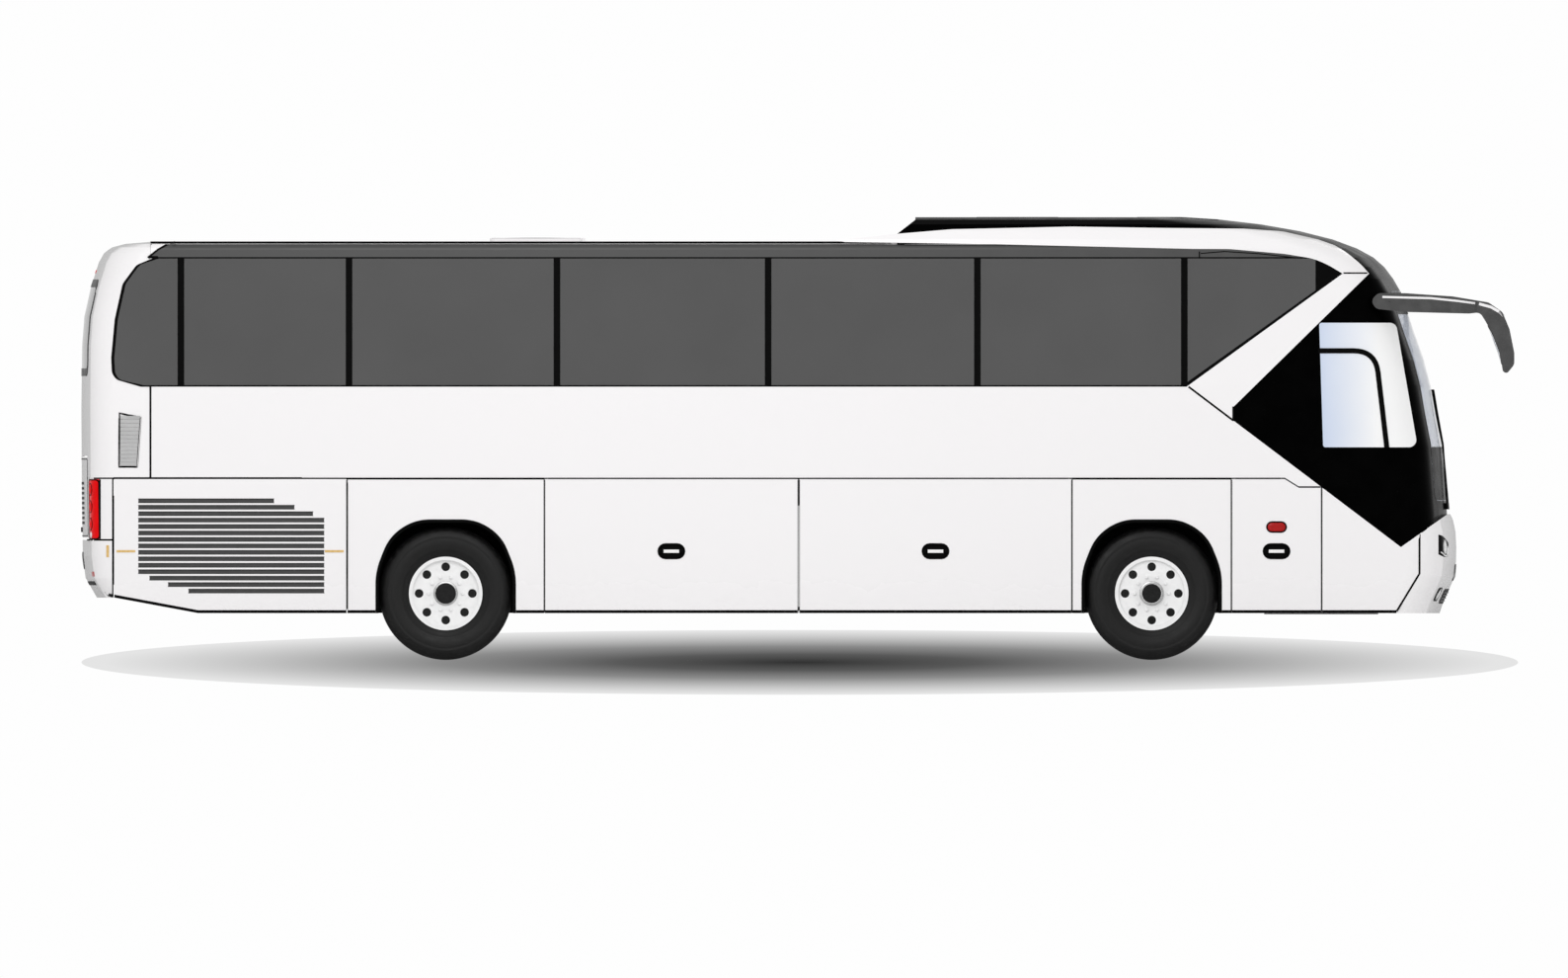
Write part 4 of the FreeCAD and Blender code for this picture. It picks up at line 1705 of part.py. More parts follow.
def build_moving():
    for name, side in (("right", RIGHT), ("left", LEFT)):
        export("knuckle_" + name, knuckle(side))
        export("front_tyre_" + name, tyre(FRONT_AXLE_X, side * FRONT_TRACK_HALF, side))
        export("front_rim_" + name, front_rim(side))
        export("rear_tyres_" + name, *[tyre(REAR_AXLE_X, side * y, side)
                                       for y in (REAR_TRACK_HALF, REAR_TRACK_HALF - TWIN_SPACING)])
        export("rear_rims_" + name, *rear_rims(side))
    rear_flap = luggage_flap(REAR_PANEL_X1, BAY_SPLIT_X)
    front_flap = luggage_flap(BAY_SPLIT_X, FRONT_PANEL_X0)
    export("luggage_flap_rear_right", rear_flap)
    export("luggage_flap_front_right", front_flap)
    export("luggage_flap_rear_left", mirrored(rear_flap))
    export("luggage_flap_front_left", mirrored(front_flap))
    export("service_flap", service_flap())
    door = engine_side_door()
    export("engine_door_right", door)
    export("engine_door_left", mirrored(door))
    export("engine_lid", engine_lid())
    export("entrance_door", entrance_door())
    export("door_glass", *door_glass())
    export("door_arm", door_arm())
    export("roof_hatch", roof_hatch())


os.makedirs("parts", exist_ok=True)
build_body()
build_ends()
build_under()
build_cabin()
build_moving()
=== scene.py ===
import bmesh
import bpy
import math
from mathutils import Matrix, Vector
from mathutils.bvhtree import BVHTree


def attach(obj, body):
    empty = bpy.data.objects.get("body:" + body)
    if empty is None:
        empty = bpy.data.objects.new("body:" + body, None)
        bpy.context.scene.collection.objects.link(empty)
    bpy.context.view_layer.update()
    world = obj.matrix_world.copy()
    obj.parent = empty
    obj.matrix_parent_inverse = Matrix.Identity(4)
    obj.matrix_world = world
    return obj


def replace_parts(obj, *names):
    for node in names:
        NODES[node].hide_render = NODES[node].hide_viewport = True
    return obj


# Looks of the coach bus. Metres, in the model's own frame: front towards +X, left side towards +Y,
# ground at Z 0.

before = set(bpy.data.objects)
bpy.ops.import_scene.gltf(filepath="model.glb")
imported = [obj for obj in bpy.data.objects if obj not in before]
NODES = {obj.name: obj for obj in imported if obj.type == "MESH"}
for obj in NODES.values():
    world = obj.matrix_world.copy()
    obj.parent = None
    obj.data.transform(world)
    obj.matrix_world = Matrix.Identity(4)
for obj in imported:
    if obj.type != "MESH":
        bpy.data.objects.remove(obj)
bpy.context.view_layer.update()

RIGHT, LEFT = -1, 1
SIDES = (("right", RIGHT), ("left", LEFT))
BOTH = (RIGHT, LEFT)
HALF_W = 1.275
REAR_X, FRONT_X, ROOF_Z = -5.805, 5.30, 3.39
REAR_AXLE_X, FRONT_AXLE_X = -2.853, 2.867
WHEEL_Z = 0.538
BELT_Z, SKIRT_Z, SILL_Z = 1.470, 0.378, 2.224
PHOTO_SCALE, PHOTO_W = 0.008, 1588
CENTRE_PX, GROUND_PX, VIEW_PX = 808.0, 668.0, (794.0, 495.0)
SHARP_ANGLE = math.radians(35)


# Outlines

def circle(count, start=0.0):
    """Angles evenly spaced round a circle."""
    return [2 * math.pi * (i + start) / count for i in range(count)]


def at_px(*points):
    """The (x, z) places of some pixels of the picture."""
    return [((u - CENTRE_PX) * PHOTO_SCALE, (GROUND_PX - v) * PHOTO_SCALE) for u, v in points]


def arc_points(cx, cz, r, start, end, count):
    return [(cx + r * math.cos(a), cz + r * math.sin(a))
            for a in (start + (end - start) * i / count for i in range(count + 1))]


def pill(cx, cz, w, h, count=8):
    """A round-ended outline."""
    r, quarter = h / 2, math.pi / 2
    return (arc_points(cx + w / 2 - r, cz, r, -quarter, quarter, count)
            + arc_points(cx - w / 2 + r, cz, r, quarter, 3 * quarter, count))


def ring_path(cx, cz, r, count=28):
    return [(cx + r * math.cos(a), cz + r * math.sin(a)) for a in circle(count)]


def rounded_path(points, radius, closed=False, count=6):
    """A path with its corners rounded."""
    n, out = len(points), []
    for i, p in enumerate(points):
        here = Vector(p)
        if not closed and i in (0, n - 1):
            out.append(here)
            continue
        before, after = Vector(points[i - 1]) - here, Vector(points[(i + 1) % n]) - here
        half = before.angle(after) / 2
        if half > 1.55:
            out.append(here)
            continue
        reach = min(radius / math.tan(half), 0.49 * before.length, 0.49 * after.length)
        start, end = here + before.normalized() * reach, here + after.normalized() * reach
        for k in range(count + 1):
            t = k / count
            out.append(start * (1 - t) ** 2 + here * 2 * t * (1 - t) + end * t ** 2)
    return out


def rect_path(u0, u1, v0, v1, r):
    return rounded_path([(u0, v0), (u1, v0), (u1, v1), (u0, v1)], r, True)


def divided(path, step, closed):
    """The path with extra points, so that it can follow a curved surface."""
    pts = [Vector(p) for p in path]
    if closed:
        pts.append(pts[0].copy())
    out = []
    for a, b in zip(pts[:-1], pts[1:]):
        n = max(1, math.ceil((b - a).length / step))
        out += [a.lerp(b, i / n) for i in range(n)]
    if not closed:
        out.append(pts[-1])
    return out


# Materials

def rgb(tone):
    """A colour, or a number for a grey."""
    return tone if isinstance(tone, tuple) else (tone,) * 3


class Tree:
    """The node tree of a material or a world, with short ways to add and join nodes."""

    def __init__(self, owner):
        owner.use_nodes = True
        self.owner, self.nodes, self.links = owner, owner.node_tree.nodes, owner.node_tree.links
        self.shader = self.nodes.get("Principled BSDF")

    def join(self, node, inputs):
        """Gives inputs of a node a value or another node's output."""
        for name, value in inputs.items():
            if isinstance(value, bpy.types.NodeSocket):
                self.links.new(value, node.inputs[name])
            else:
                node.inputs[name].default_value = value
        return node

    def add(self, kind, inputs=None, **settings):
        node = self.nodes.new("ShaderNode" + kind)
        for name, value in settings.items():
            setattr(node, name, value)
        return self.join(node, inputs or {})

    def coords(self):
        return self.add("TexCoord").outputs["Object"]

    def noise(self, scale, detail=2.0):
        """Noise on object coordinates, so that it keeps its place on every piece."""
        return self.add("TexNoise", {"Scale": scale, "Detail": detail, "Vector": self.coords()}).outputs["Fac"]

    def share(self, axis, low, high):
        """How far a point lies between two places on an axis."""
        place = self.add("SeparateXYZ", {"Vector": self.coords()}).outputs[axis]
        return self.add("MapRange", {"From Min": low, "From Max": high, "Value": place}).outputs["Result"]

    def sum(self, value, weight, base):
        return self.add("Math", {0: value, 1: weight, 2: base}, operation="MULTIPLY_ADD").outputs[0]

    def ramp(self, source, *stops):
        """A colour ramp over a value, from (position, tone) stops."""
        node = self.add("ValToRGB", {"Fac": source})
        elements = node.color_ramp.elements
        while len(elements) < len(stops):
            elements.new(0.5)
        for e, (at, tone) in zip(elements, stops):
            e.position, e.color = at, (*rgb(tone), 1.0)
        return node.outputs["Color"]

    def bump(self, height, strength, distance):
        return self.add("Bump", {"Strength": strength, "Distance": distance, "Height": height}).outputs["Normal"]


def new_material(name):
    return Tree(bpy.data.materials.new(name))


def surface(name, dark, light, scale, rough, bump=0.0, bump_scale=200.0, metal=0.0, coat=0.0, distance=0.001,
            specular=0.5):
    """A varied surface: colour between two tones, uneven roughness, a fine relief."""
    m = new_material(name)
    tone = m.noise(scale, 4.0)
    m.join(m.shader, {
        "Base Color": m.ramp(tone, (0.35, dark), (0.65, light)),
        "Roughness": m.ramp(tone, (0.3, rough[0]), (0.7, rough[1])),
        "Metallic": metal, "Coat Weight": coat, "Coat Roughness": 0.06, "Specular IOR Level": specular})
    if bump:
        m.join(m.shader, {"Normal": m.bump(m.noise(bump_scale), bump, distance)})
    return m.owner


def body_paint(name, high, low):
    """Gloss paint with a faint film of road dust towards the skirt, and a painted shade that darkens it where its
    surface turns edge-on to the view.
    """
    m = new_material(name)
    lift = m.sum(m.noise(3.0, 5.0), 0.5, m.share("Z", 0.30, 1.0))
    # Painted shade: the colour darkens towards the body's edges, where the surface turns edge-on to the camera.
    facing = m.add("LayerWeight", {"Blend": 0.5}).outputs["Facing"]
    dust_and_edge_shade = m.add("Mix", {"Factor": 1.0, "A": m.ramp(lift, (0.20, low), (0.75, high)),
                          "B": m.ramp(facing, (0.70, 1.0), (0.98, 0.28))},
                  data_type="RGBA", blend_type="MULTIPLY")
    m.join(m.shader, {
        "Base Color": dust_and_edge_shade.outputs["Result"], "Roughness": m.ramp(lift, (0.20, 0.42), (0.75, 0.26)),
        "Coat Weight": 0.15, "Coat Roughness": 0.05, "Normal": m.bump(m.noise(260.0, 1.0), 0.02, 0.001)})
    return m.owner


def tinted_glass(name, tone, tint, clear):
    """Glass over a dark film: mostly its own tone, with a share that lets the inside show."""
    m = new_material(name)
    m.join(m.shader, {"Base Color": m.ramp(m.noise(1.3), (0.3, tone), (0.7, tint)), "Roughness": 0.04,
                      "Specular IOR Level": 0.5, "Alpha": 1.0 - clear})
    m.owner.use_transparent_shadow = True
    return m.owner


def cab_glass(name, x0, x1, blue, pale, cover_low, cover_high):
    """Clear glass with a pale blue band that fades out towards the front."""
    m = new_material(name)
    drift = m.sum(m.noise(1.3), 0.25, m.share("X", x0, x1))
    m.join(m.shader, {"Base Color": m.ramp(drift, (0.12, blue), (0.85, pale)),
                      "Alpha": m.ramp(drift, (0.12, cover_low), (0.85, cover_high)),
                      "Roughness": 0.03, "Specular IOR Level": 0.2})
    m.owner.use_transparent_shadow = True
    return m.owner


PAINT = body_paint("body_paint", (0.915, 0.900, 0.907), (0.900, 0.885, 0.892))
ROOF_BLACK = surface("gloss_black", 0.0004, 0.0009, 6.0, (0.22, 0.32), 0.02, 240.0, specular=0.010)
TRIM_BLACK = surface("trim_black", 0.0006, 0.0016, 30.0, (0.42, 0.60), 0.12, 600.0, specular=0.04)
COVE_GREY = surface("cove_grey", 0.058, 0.065, 5.0, (0.30, 0.42), 0.03, 260.0, specular=0.3)
SIDE_GLASS = tinted_glass("side_glass", 0.079, 0.087, 0.10)
CLEAR_GLASS = cab_glass("clear_glass", 4.90, 5.30, (0.78, 0.84, 0.97), (0.84, 0.89, 1.0), 0.44, 0.44)
CAB_GLASS = cab_glass("cab_glass", 4.24, 4.88, (0.68, 0.765, 0.93), 1.0, 0.90, 0.95)
RUBBER = surface("rubber", 0.003, 0.007, 40.0, (0.62, 0.82), 0.25, 500.0, specular=0.2)
TYRE = surface("tyre_rubber", 0.0030, 0.0056, 14.0, (0.40, 0.55), 0.25, 340.0, specular=0.26)
WHEEL_WHITE = surface("wheel_white", 0.91, 0.95, 20.0, (0.26, 0.40), 0.05, 300.0)
HUB_BLACK = surface("hub_black", 0.003, 0.006, 40.0, (0.25, 0.45), 0.08, 300.0, specular=0.2)
STEEL = surface("steel", 0.42, 0.55, 30.0, (0.22, 0.40), 0.08, 300.0, metal=1.0)
CAST = surface("cast_metal", 0.028, 0.055, 18.0, (0.50, 0.75), 0.5, 160.0, distance=0.002)
CHASSIS = surface("chassis_paint", 0.020, 0.038, 9.0, (0.45, 0.68), 0.25, 120.0, distance=0.002)
HOUSING = surface("housing_coat", 0.004, 0.009, 25.0, (0.65, 0.85), 0.6, 260.0, distance=0.002, specular=0.2)
FLOORING = surface("flooring", 0.11, 0.17, 160.0, (0.60, 0.80), 0.25, 700.0)
PLASTIC = surface("grey_plastic", 0.045, 0.062, 24.0, (0.50, 0.66), 0.25, 900.0)
PLASTIC_PALE = surface("pale_plastic", 0.30, 0.36, 24.0, (0.50, 0.66), 0.20, 900.0)
RED_LENS = surface("red_lens", (0.76, 0.0015, 0.003), (0.88, 0.003, 0.005), 12.0, (0.24, 0.34), 0.10, 420.0,
                   specular=0.04)
RED_DARK = surface("red_reflector", (0.36, 0.008, 0.008), (0.44, 0.012, 0.012), 60.0, (0.16, 0.28), 0.20, 700.0,
                   specular=0.15)
AMBER = surface("amber_lens", (0.66, 0.42, 0.13), (0.78, 0.53, 0.22), 60.0, (0.16, 0.28), 0.20, 600.0, specular=0.3)
VENT_GREY = surface("vent_grey", 0.455, 0.50, 12.0, (0.40, 0.55), 0.08, 300.0)
MIRROR_GREY = surface("mirror_grey", 0.052, 0.068, 12.0, (0.26, 0.38), 0.06, 420.0, specular=0.35)
MIRROR_FACE = surface("mirror_face", 0.86, 0.90, 4.0, (0.02, 0.05), metal=1.0)
LAMP_CLEAR = surface("lamp_clear", 0.72, 0.85, 30.0, (0.04, 0.10), 0.15, 260.0, coat=0.8)
CLOTH = surface("seat_cloth", (0.020, 0.035, 0.085), (0.055, 0.075, 0.150), 55.0, (0.82, 0.95), 0.6, 900.0)
YELLOW = surface("yellow_plastic", (0.55, 0.33, 0.02), (0.66, 0.42, 0.04), 30.0, (0.40, 0.55), 0.15, 500.0)

# The slot name of each material, which finish looks up for its pieces unless they give another. Amber has none.
SLOTS = {PAINT: "white_paint", ROOF_BLACK: "black_gloss", TRIM_BLACK: "black_trim", COVE_GREY: "grey_trim",
         VENT_GREY: "grey_trim", RUBBER: "rubber", TYRE: "tyre", WHEEL_WHITE: "alloy", HUB_BLACK: "alloy",
         STEEL: "alloy", MIRROR_FACE: "alloy", CAST: "iron", CHASSIS: "frame", PLASTIC: "grey_plastic",
         PLASTIC_PALE: "grey_plastic", YELLOW: "grey_plastic", RED_LENS: "red_lens", RED_DARK: "red_lens",
         LAMP_CLEAR: "clear_lens", CLOTH: "seat_cloth"}

# The CAD nodes of each material. A star stands for right and left.
NODE_LOOKS = {
    PAINT: "waist_panels arch_panels roof_panel roof_cheeks rear_cap rear_bumper cab_bands front_bumper "
           "front_corners luggage_flap_rear_* luggage_flap_front_* service_flap engine_door_* engine_lid roof_hatch",
    ROOF_BLACK: "front_mask roof_pod entrance_door headlamps",
    TRIM_BLACK: "window_frames wipers steering_wheel",
    MIRROR_GREY: "mirrors",
    COVE_GREY: "roof_coves",
    SIDE_GLASS: "side_glass rear_window",
    CLEAR_GLASS: "windscreen door_glass",
    CAB_GLASS: "cab_glass",
    RED_LENS: "tail_lamps",
    PLASTIC: "dashboard",
    PLASTIC_PALE: "luggage_racks",
    CLOTH: "driver_seat passenger_seats",
    CHASSIS: "chassis_frame floor_posts entrance_steps door_arm",
    HOUSING: "wheel_housings",
    FLOORING: "floor_deck luggage_bay",
    CAST: "engine front_axle rear_axle knuckle_*",
    RUBBER: "air_springs",
    TYRE: "front_tyre_* rear_tyres_*",
    WHEEL_WHITE: "front_rim_* rear_rims_*",
}


def nodes_of(material):
    return sorted({name.replace("*", side) for name in NODE_LOOKS[material].split() for side, s in SIDES})


def paint_nodes():
    for material in NODE_LOOKS:
        for name in nodes_of(material):
            data = NODES[name].data
            data.materials.clear()
            data.materials.append(material)


# Meshes

def place(name, data):
    obj = bpy.data.objects.new(name, data)
    bpy.context.scene.collection.objects.link(obj)
    return obj


def place_mesh(name, bm, material):
    data = bpy.data.meshes.new(name)
    bm.to_mesh(data)
    bm.free()
    data.materials.append(material)
    return place(name, data)


class Piece:
    """A mesh in the making. Strips and patches follow a surface, whose points are at(u, v, out)."""

    def __init__(self, at=None):
        self.bm, self.at = bmesh.new(), at

    def finish(self, name, material, body="body", slot="", smooth=True):
        """Turns the mesh into a piece that rides on a body."""
        bmesh.ops.recalc_face_normals(self.bm, faces=self.bm.faces)
        piece = place_mesh(name, self.bm, material)
        if smooth:
            piece.data.shade_smooth()
            piece.data.set_sharp_from_angle(angle=SHARP_ANGLE)
        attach(piece, body)
        slot = slot or SLOTS.get(material)
        return piece

    def loops(self, loops, ends=True, closed=False):
        """Skins a run of vertex loops, which may close on itself."""
        rows = [[self.bm.verts.new(p) for p in loop] for loop in loops]
        n = len(rows[0])
        for a, b in zip(rows, rows[1:] + rows[:1] if closed else rows[1:]):
            for i in range(n):
                j = (i + 1) % n
                self.bm.faces.new((a[i], a[j], b[j], b[i]))
        if ends and not closed:
            self.bm.faces.new(rows[0])
            self.bm.faces.new(list(reversed(rows[-1])))
        return rows

    def block(self, low, high, bevel=0.0):
        """A block, with its edges broken where a bevel is given."""
        low, high = Vector(map(min, low, high)), Vector(map(max, low, high))
        verts = bmesh.ops.create_cube(self.bm, size=1.0)["verts"]
        bmesh.ops.scale(self.bm, vec=high - low, verts=verts)
        bmesh.ops.translate(self.bm, vec=(high + low) / 2, verts=verts)
        if bevel:
            edges = {e for v in verts for e in v.link_edges}
            bmesh.ops.bevel(self.bm, geom=list(edges), offset=bevel, segments=2, affect="EDGES", profile=0.5)
        return self

    def turned(self, profile, centre, axis, segments=32):
        """A (distance along axis, radius) profile turned about an axis. Radius 0 closes an end."""
        axis = Vector(axis).normalized()
        side = Vector((0, 0, 1)) if abs(axis.z) < 0.5 else Vector((1, 0, 0))
        other = axis.cross(side)
        self.loops([[Vector(centre) + axis * u + (side * math.cos(a) + other * math.sin(a)) * max(r, 1e-4)
                     for a in circle(segments)] for u, r in profile])
        return self

    def tube(self, points, radius, sides=10, flat=1.0):
        """A bar of round or flattened section along points."""
        points = [Vector(p) for p in points]
        loops = []
        for i, p in enumerate(points):
            along = (points[min(i + 1, len(points) - 1)] - points[max(i - 1, 0)]).normalized()
            side = along.cross(Vector((0, 1, 0)) if abs(along.y) < 0.9 else Vector((1, 0, 0))).normalized()
            other = along.cross(side) * flat
            loops.append([p + (side * math.cos(a) + other * math.sin(a)) * radius for a in circle(sides)])
        self.loops(loops)
        return self

    def ribbon(self, path, width, proud=0.0015, depth=0.002, closed=False, step=0.05):
        """A flat strip laid along a path on the surface."""
        pts, at = divided(path, step, closed), self.at
        n = len(pts)
        loops = []
        for i, p in enumerate(pts):
            a = pts[i - 1] if closed or i > 0 else p
            b = pts[(i + 1) % n] if closed or i < n - 1 else p
            along = (b - a).normalized()
            off = Vector((-along.y, along.x)) * width / 2
            q, r = p + off, p - off
            loops.append([at(q.x, q.y, proud), at(r.x, r.y, proud), at(r.x, r.y, -depth), at(q.x, q.y, -depth)])
        self.loops(loops, closed=closed)
        return self

    def level(self, u0, u1, v, *sizes, **more):
        return self.ribbon([(u0, v), (u1, v)], *sizes, **more)

    def upright(self, u, v0, v1, *sizes, **more):
        return self.ribbon([(u, v0), (u, v1)], *sizes, **more)

    def patch(self, outline, proud=0.002, depth=0.003, rings=4, crown=0.0, step=0.06):
        """A plate with a closed outline that follows the surface, crowned in its middle."""
        pts = divided(outline, step, True)
        mid = sum(pts, Vector((0, 0))) / len(pts)
        loops = [[self.at(p.x, p.y, -depth) for p in pts]]
        for k in range(rings):
            t = k / rings
            lift = proud + crown * (1 - (1 - t) ** 2)
            loops.append([self.at(*(p.lerp(mid, t)), lift) for p in pts])
        rows = self.loops(loops, ends=False)
        self.bm.faces.new(list(reversed(rows[0])))
        top = self.bm.verts.new(self.at(mid.x, mid.y, proud + crown))
        last = rows[-1]
        for i in range(len(last)):
            self.bm.faces.new((last[i], last[(i + 1) % len(last)], top))
        return self

    def discs(self, places, *sizes, **more):
        """Round patches at (u, v, radius) places."""
        for u, v, r in places:
            self.patch(ring_path(u, v, r), *sizes, step=0.2, **more)
        return self

    def rings(self, places, *sizes):
        """Round strips at (u, v, radius) places."""
        for u, v, r in places:
            self.ribbon(ring_path(u, v, r), *sizes, closed=True, step=0.2)
        return self

    def recess(self, s, outer, inner, root, floor, lip=0.003):
        """A raised rim between two (x, z) outlines on a side wall, with a sunk floor."""
        rings = ((outer, root), (outer, lip), (inner, lip), (inner, floor))
        rows = self.loops([[(u, s * (HALF_W + d), v) for u, v in outline] for outline, d in rings], ends=False)
        self.bm.faces.new(rows[-1])
        return self

    def pad(self, centre, size, lean=0.0, puff=0.012, edge=0.03, cuts=6, grooves=()):
        """A stuffed block: rounded edges, faces that swell, and stitched grooves across it."""
        half = Vector(size) / 2
        turn = Matrix.Rotation(-lean, 3, "Y")
        found = {}

        def placed(p):
            key = tuple(round(c * 1000) for c in p)
            if key in found:
                return found[key]
            full = Vector([p[i] * half[i] for i in range(3)])
            inner = Vector([max(edge - half[i], min(half[i] - edge, full[i])) for i in range(3)])
            off = full - inner
            q = inner + off.normalized() * edge if off.length > 1e-9 else full
            for i in range(3):
                if abs(p[i]) < 0.999:
                    continue
                others = [p[k] for k in range(3) if k != i]
                q[i] += math.copysign(puff * (1 - others[0] ** 2) * (1 - others[1] ** 2), p[i])
                for axis, at, deep in grooves:
                    if axis != i:
                        q[i] -= math.copysign(deep * max(0.0, 1.0 - abs(p[axis] - at) / 0.16), p[i])
            found[key] = self.bm.verts.new(turn @ q + Vector(centre))
            return found[key]

        steps = [-1 + 2 * i / (cuts + 1) for i in range(cuts + 2)]
        cells = list(zip(steps, steps[1:]))
        for axis in range(3):
            u, v = (axis + 1) % 3, (axis + 2) % 3
            for end in (-1.0, 1.0):
                for u0, u1 in cells:
                    for v0, v1 in cells:
                        face = []
                        for at_u, at_v in ((u0, v0), (u1, v0), (u1, v1), (u0, v1)):
                            p = [0.0, 0.0, 0.0]
                            p[axis], p[u], p[v] = end, at_u, at_v
                            face.append(placed(p))
                        self.bm.faces.new(face if end > 0 else list(reversed(face)))
        return self


class Skin:
    """The outside of some CAD nodes, looked at along an axis, to lay trim on."""

    def __init__(self, names):
        verts, faces = [], []
        for name in names:
            data = NODES[name].data
            base = len(verts)
            verts += [v.co.copy() for v in data.vertices]
            faces += [tuple(base + i for i in p.vertices) for p in data.polygons]
        self.tree = BVHTree.FromPolygons(verts, faces)

    def find(self, start, direction, fallback, out):
        hit = self.tree.ray_cast(Vector(start), Vector(direction))[0]
        return (Vector(fallback) if hit is None else hit) - Vector(direction) * out

    def side(self, s):
        """Points (x, z) on the right or left side."""
        return lambda u, v, out: self.find((u, s * 3.0, v), (0, -s, 0), (u, s * HALF_W, v), out)

    def front(self, u, v, out):
        """Points (y, z) on the front face."""
        return self.find((8.0, u, v), (-1, 0, 0), (FRONT_X, u, v), out)

    def rear(self, u, v, out):
        """Points (y, z) on the rear face."""
        return self.find((-8.0, u, v), (1, 0, 0), (REAR_X, u, v), out)

    def top(self, u, v, out):
        """Points (x, y) on the roof."""
        return self.find((u, v, 5.0), (0, 0, -1), (u, v, ROOF_Z), out)


# Stage, light and camera

FLOOR_SIZE = 60.0
LIGHTS = (("key", (-2.5, -19.0, 9.0), 890.0, 8.0), ("fill", (12.0, 12.0, 9.0), 420.0, 9.0))
LIGHTS_AIM = Vector((0, 0, 1.5))
SHADOW_W, SHADOW_H, SHADOW_PLACE = 5.82, 0.262, (0.016, 0.0, -0.020)
CAMERA_Y = -40.0


def build_stage():
    floor = new_material("floor")
    floor.join(floor.shader, {"Base Color": (0.86, 0.86, 0.86, 1.0), "Roughness": 0.9})
    bm = bmesh.new()
    bmesh.ops.create_grid(bm, x_segments=1, y_segments=1, size=FLOOR_SIZE)
    place_mesh("floor", bm, floor.owner)

    world = bpy.data.worlds.new("studio")
    bpy.context.scene.world = world
    sky = Tree(world)
    soft = sky.join(sky.nodes["Background"], {"Color": (1.0, 1.0, 1.0, 1.0), "Strength": 0.80})
    white = sky.add("Background", {"Color": (0.99, 0.99, 0.99, 1.0)})
    path = sky.add("LightPath").outputs
    seen = sky.add("Math", {0: path["Is Camera Ray"], 1: path["Is Transmission Ray"]}, operation="MAXIMUM")
    pick = sky.add("MixShader", {"Fac": seen.outputs[0], 1: soft.outputs[0], 2: white.outputs[0]})
    sky.join(sky.nodes["World Output"], {"Surface": pick.outputs[0]})

    for name, spot, energy, size in LIGHTS:
        data = bpy.data.lights.new(name, "AREA")
        data.energy, data.size = energy, size
        lamp = place(name, data)
        lamp.location = spot
        lamp.rotation_euler = (LIGHTS_AIM - Vector(spot)).to_track_quat("-Z", "Y").to_euler()


def build_shadow():
    """The soft oval shadow of the drawing, on a card that stands under the coach's middle."""
    m = new_material("shadow_card")
    oval = m.add("Mapping", {"Scale": (1 / SHADOW_W, 1.0, 1 / SHADOW_H), "Vector": m.coords()})
    length = m.add("VectorMath", {0: oval.outputs["Vector"]}, operation="LENGTH").outputs["Value"]
    # The card's own glow paints the shadow: near-black in its middle, paler towards its rim, and shown only to rays
    # along the camera's line.
    shadow_glow = m.add("Emission", {"Color": m.ramp(length, (0.0, 0.030), (0.25, 0.10), (0.5, 0.26), (0.75, 0.54),
                                              (0.97, 0.78))})
    incoming = m.add("SeparateXYZ", {"Vector": m.add("NewGeometry").outputs["Incoming"]})
    ahead = m.add("Math", {0: incoming.outputs["Y"], 1: -0.999}, operation="LESS_THAN")
    clear = m.add("BsdfTransparent")
    pick = m.add("MixShader", {"Fac": ahead.outputs[0], 1: clear.outputs[0], 2: shadow_glow.outputs[0]})
    m.join(m.nodes["Material Output"], {"Surface": pick.outputs[0]})
    bm = bmesh.new()
    bm.faces.new([bm.verts.new((SHADOW_W * math.cos(a), 0.0, SHADOW_H * math.sin(a))) for a in circle(160)])
    card = place_mesh("shadow_card", bm, m.owner)
    card.location = SHADOW_PLACE
    for ray in ("diffuse", "glossy", "transmission", "volume_scatter", "shadow"):
        setattr(card, "visible_" + ray, False)


def build_camera():
    data = bpy.data.cameras.new("camera")
    data.type = "ORTHO"
    data.ortho_scale = PHOTO_W * PHOTO_SCALE
    data.clip_end = 200.0
    camera = place("camera", data)
    (x, z), = at_px(VIEW_PX)
    camera.location = (x, CAMERA_Y, z)
    camera.rotation_euler = (math.radians(90.0), 0.0, 0.0)
    bpy.context.scene.camera = camera
    bpy.context.scene.view_settings.view_transform = "Standard"


# Wheels

FRONT_WHEEL_Y, REAR_OUTER_Y, REAR_INNER_Y = 1.052, 1.062, 0.727
TREAD = ((-0.1155, 0.525), (-0.104, 0.5335), (-0.078, 0.5375), (-0.074, 0.524), (-0.066, 0.524), (-0.062, 0.5380),
         (-0.029, 0.5380), (-0.025, 0.524), (-0.017, 0.524), (-0.013, 0.5380))
SIDEWALL = ((-0.100, 0.288), (-0.113, 0.290), (-0.121, 0.300), (-0.128, 0.330), (-0.137, 0.352), (-0.1395, 0.356),
            (-0.1395, 0.366), (-0.1440, 0.385), (-0.1470, 0.415), (-0.1460, 0.440), (-0.1440, 0.452),
            (-0.1450, 0.455), (-0.1425, 0.470), (-0.1350, 0.498), (-0.1290, 0.512))
TYRE_SEGMENTS, NOTCH_EVERY, NOTCH_DEPTH = 120, 3, 0.006
FRONT_DISC, REAR_DISC = 0.092, 0.078
CAP_R, WHEEL_NUTS, NUT_CIRCLE_R = 0.082, 10, 0.138
COVER_IN_R, COVER_OUT_R, COVER_T = 0.084, 0.2695, 0.012
HAND_HOLES, HAND_HOLE_R, HAND_CIRCLE_R = 8, 0.035, 0.216


def wheel_centres(s):
    """Centres of a side's front wheel and of its outer and inner rear wheels."""
    return [(x, s * y, WHEEL_Z) for x, y in (
        (FRONT_AXLE_X, FRONT_WHEEL_Y), (REAR_AXLE_X, REAR_OUTER_Y), (REAR_AXLE_X, REAR_INNER_Y))]


def wheel_point(centre, r, a, u=0.0):
    """A point at a radius and an angle round a wheel, and u along its axle."""
    return Vector(centre) + Vector((r * math.sin(a), u, r * math.cos(a)))


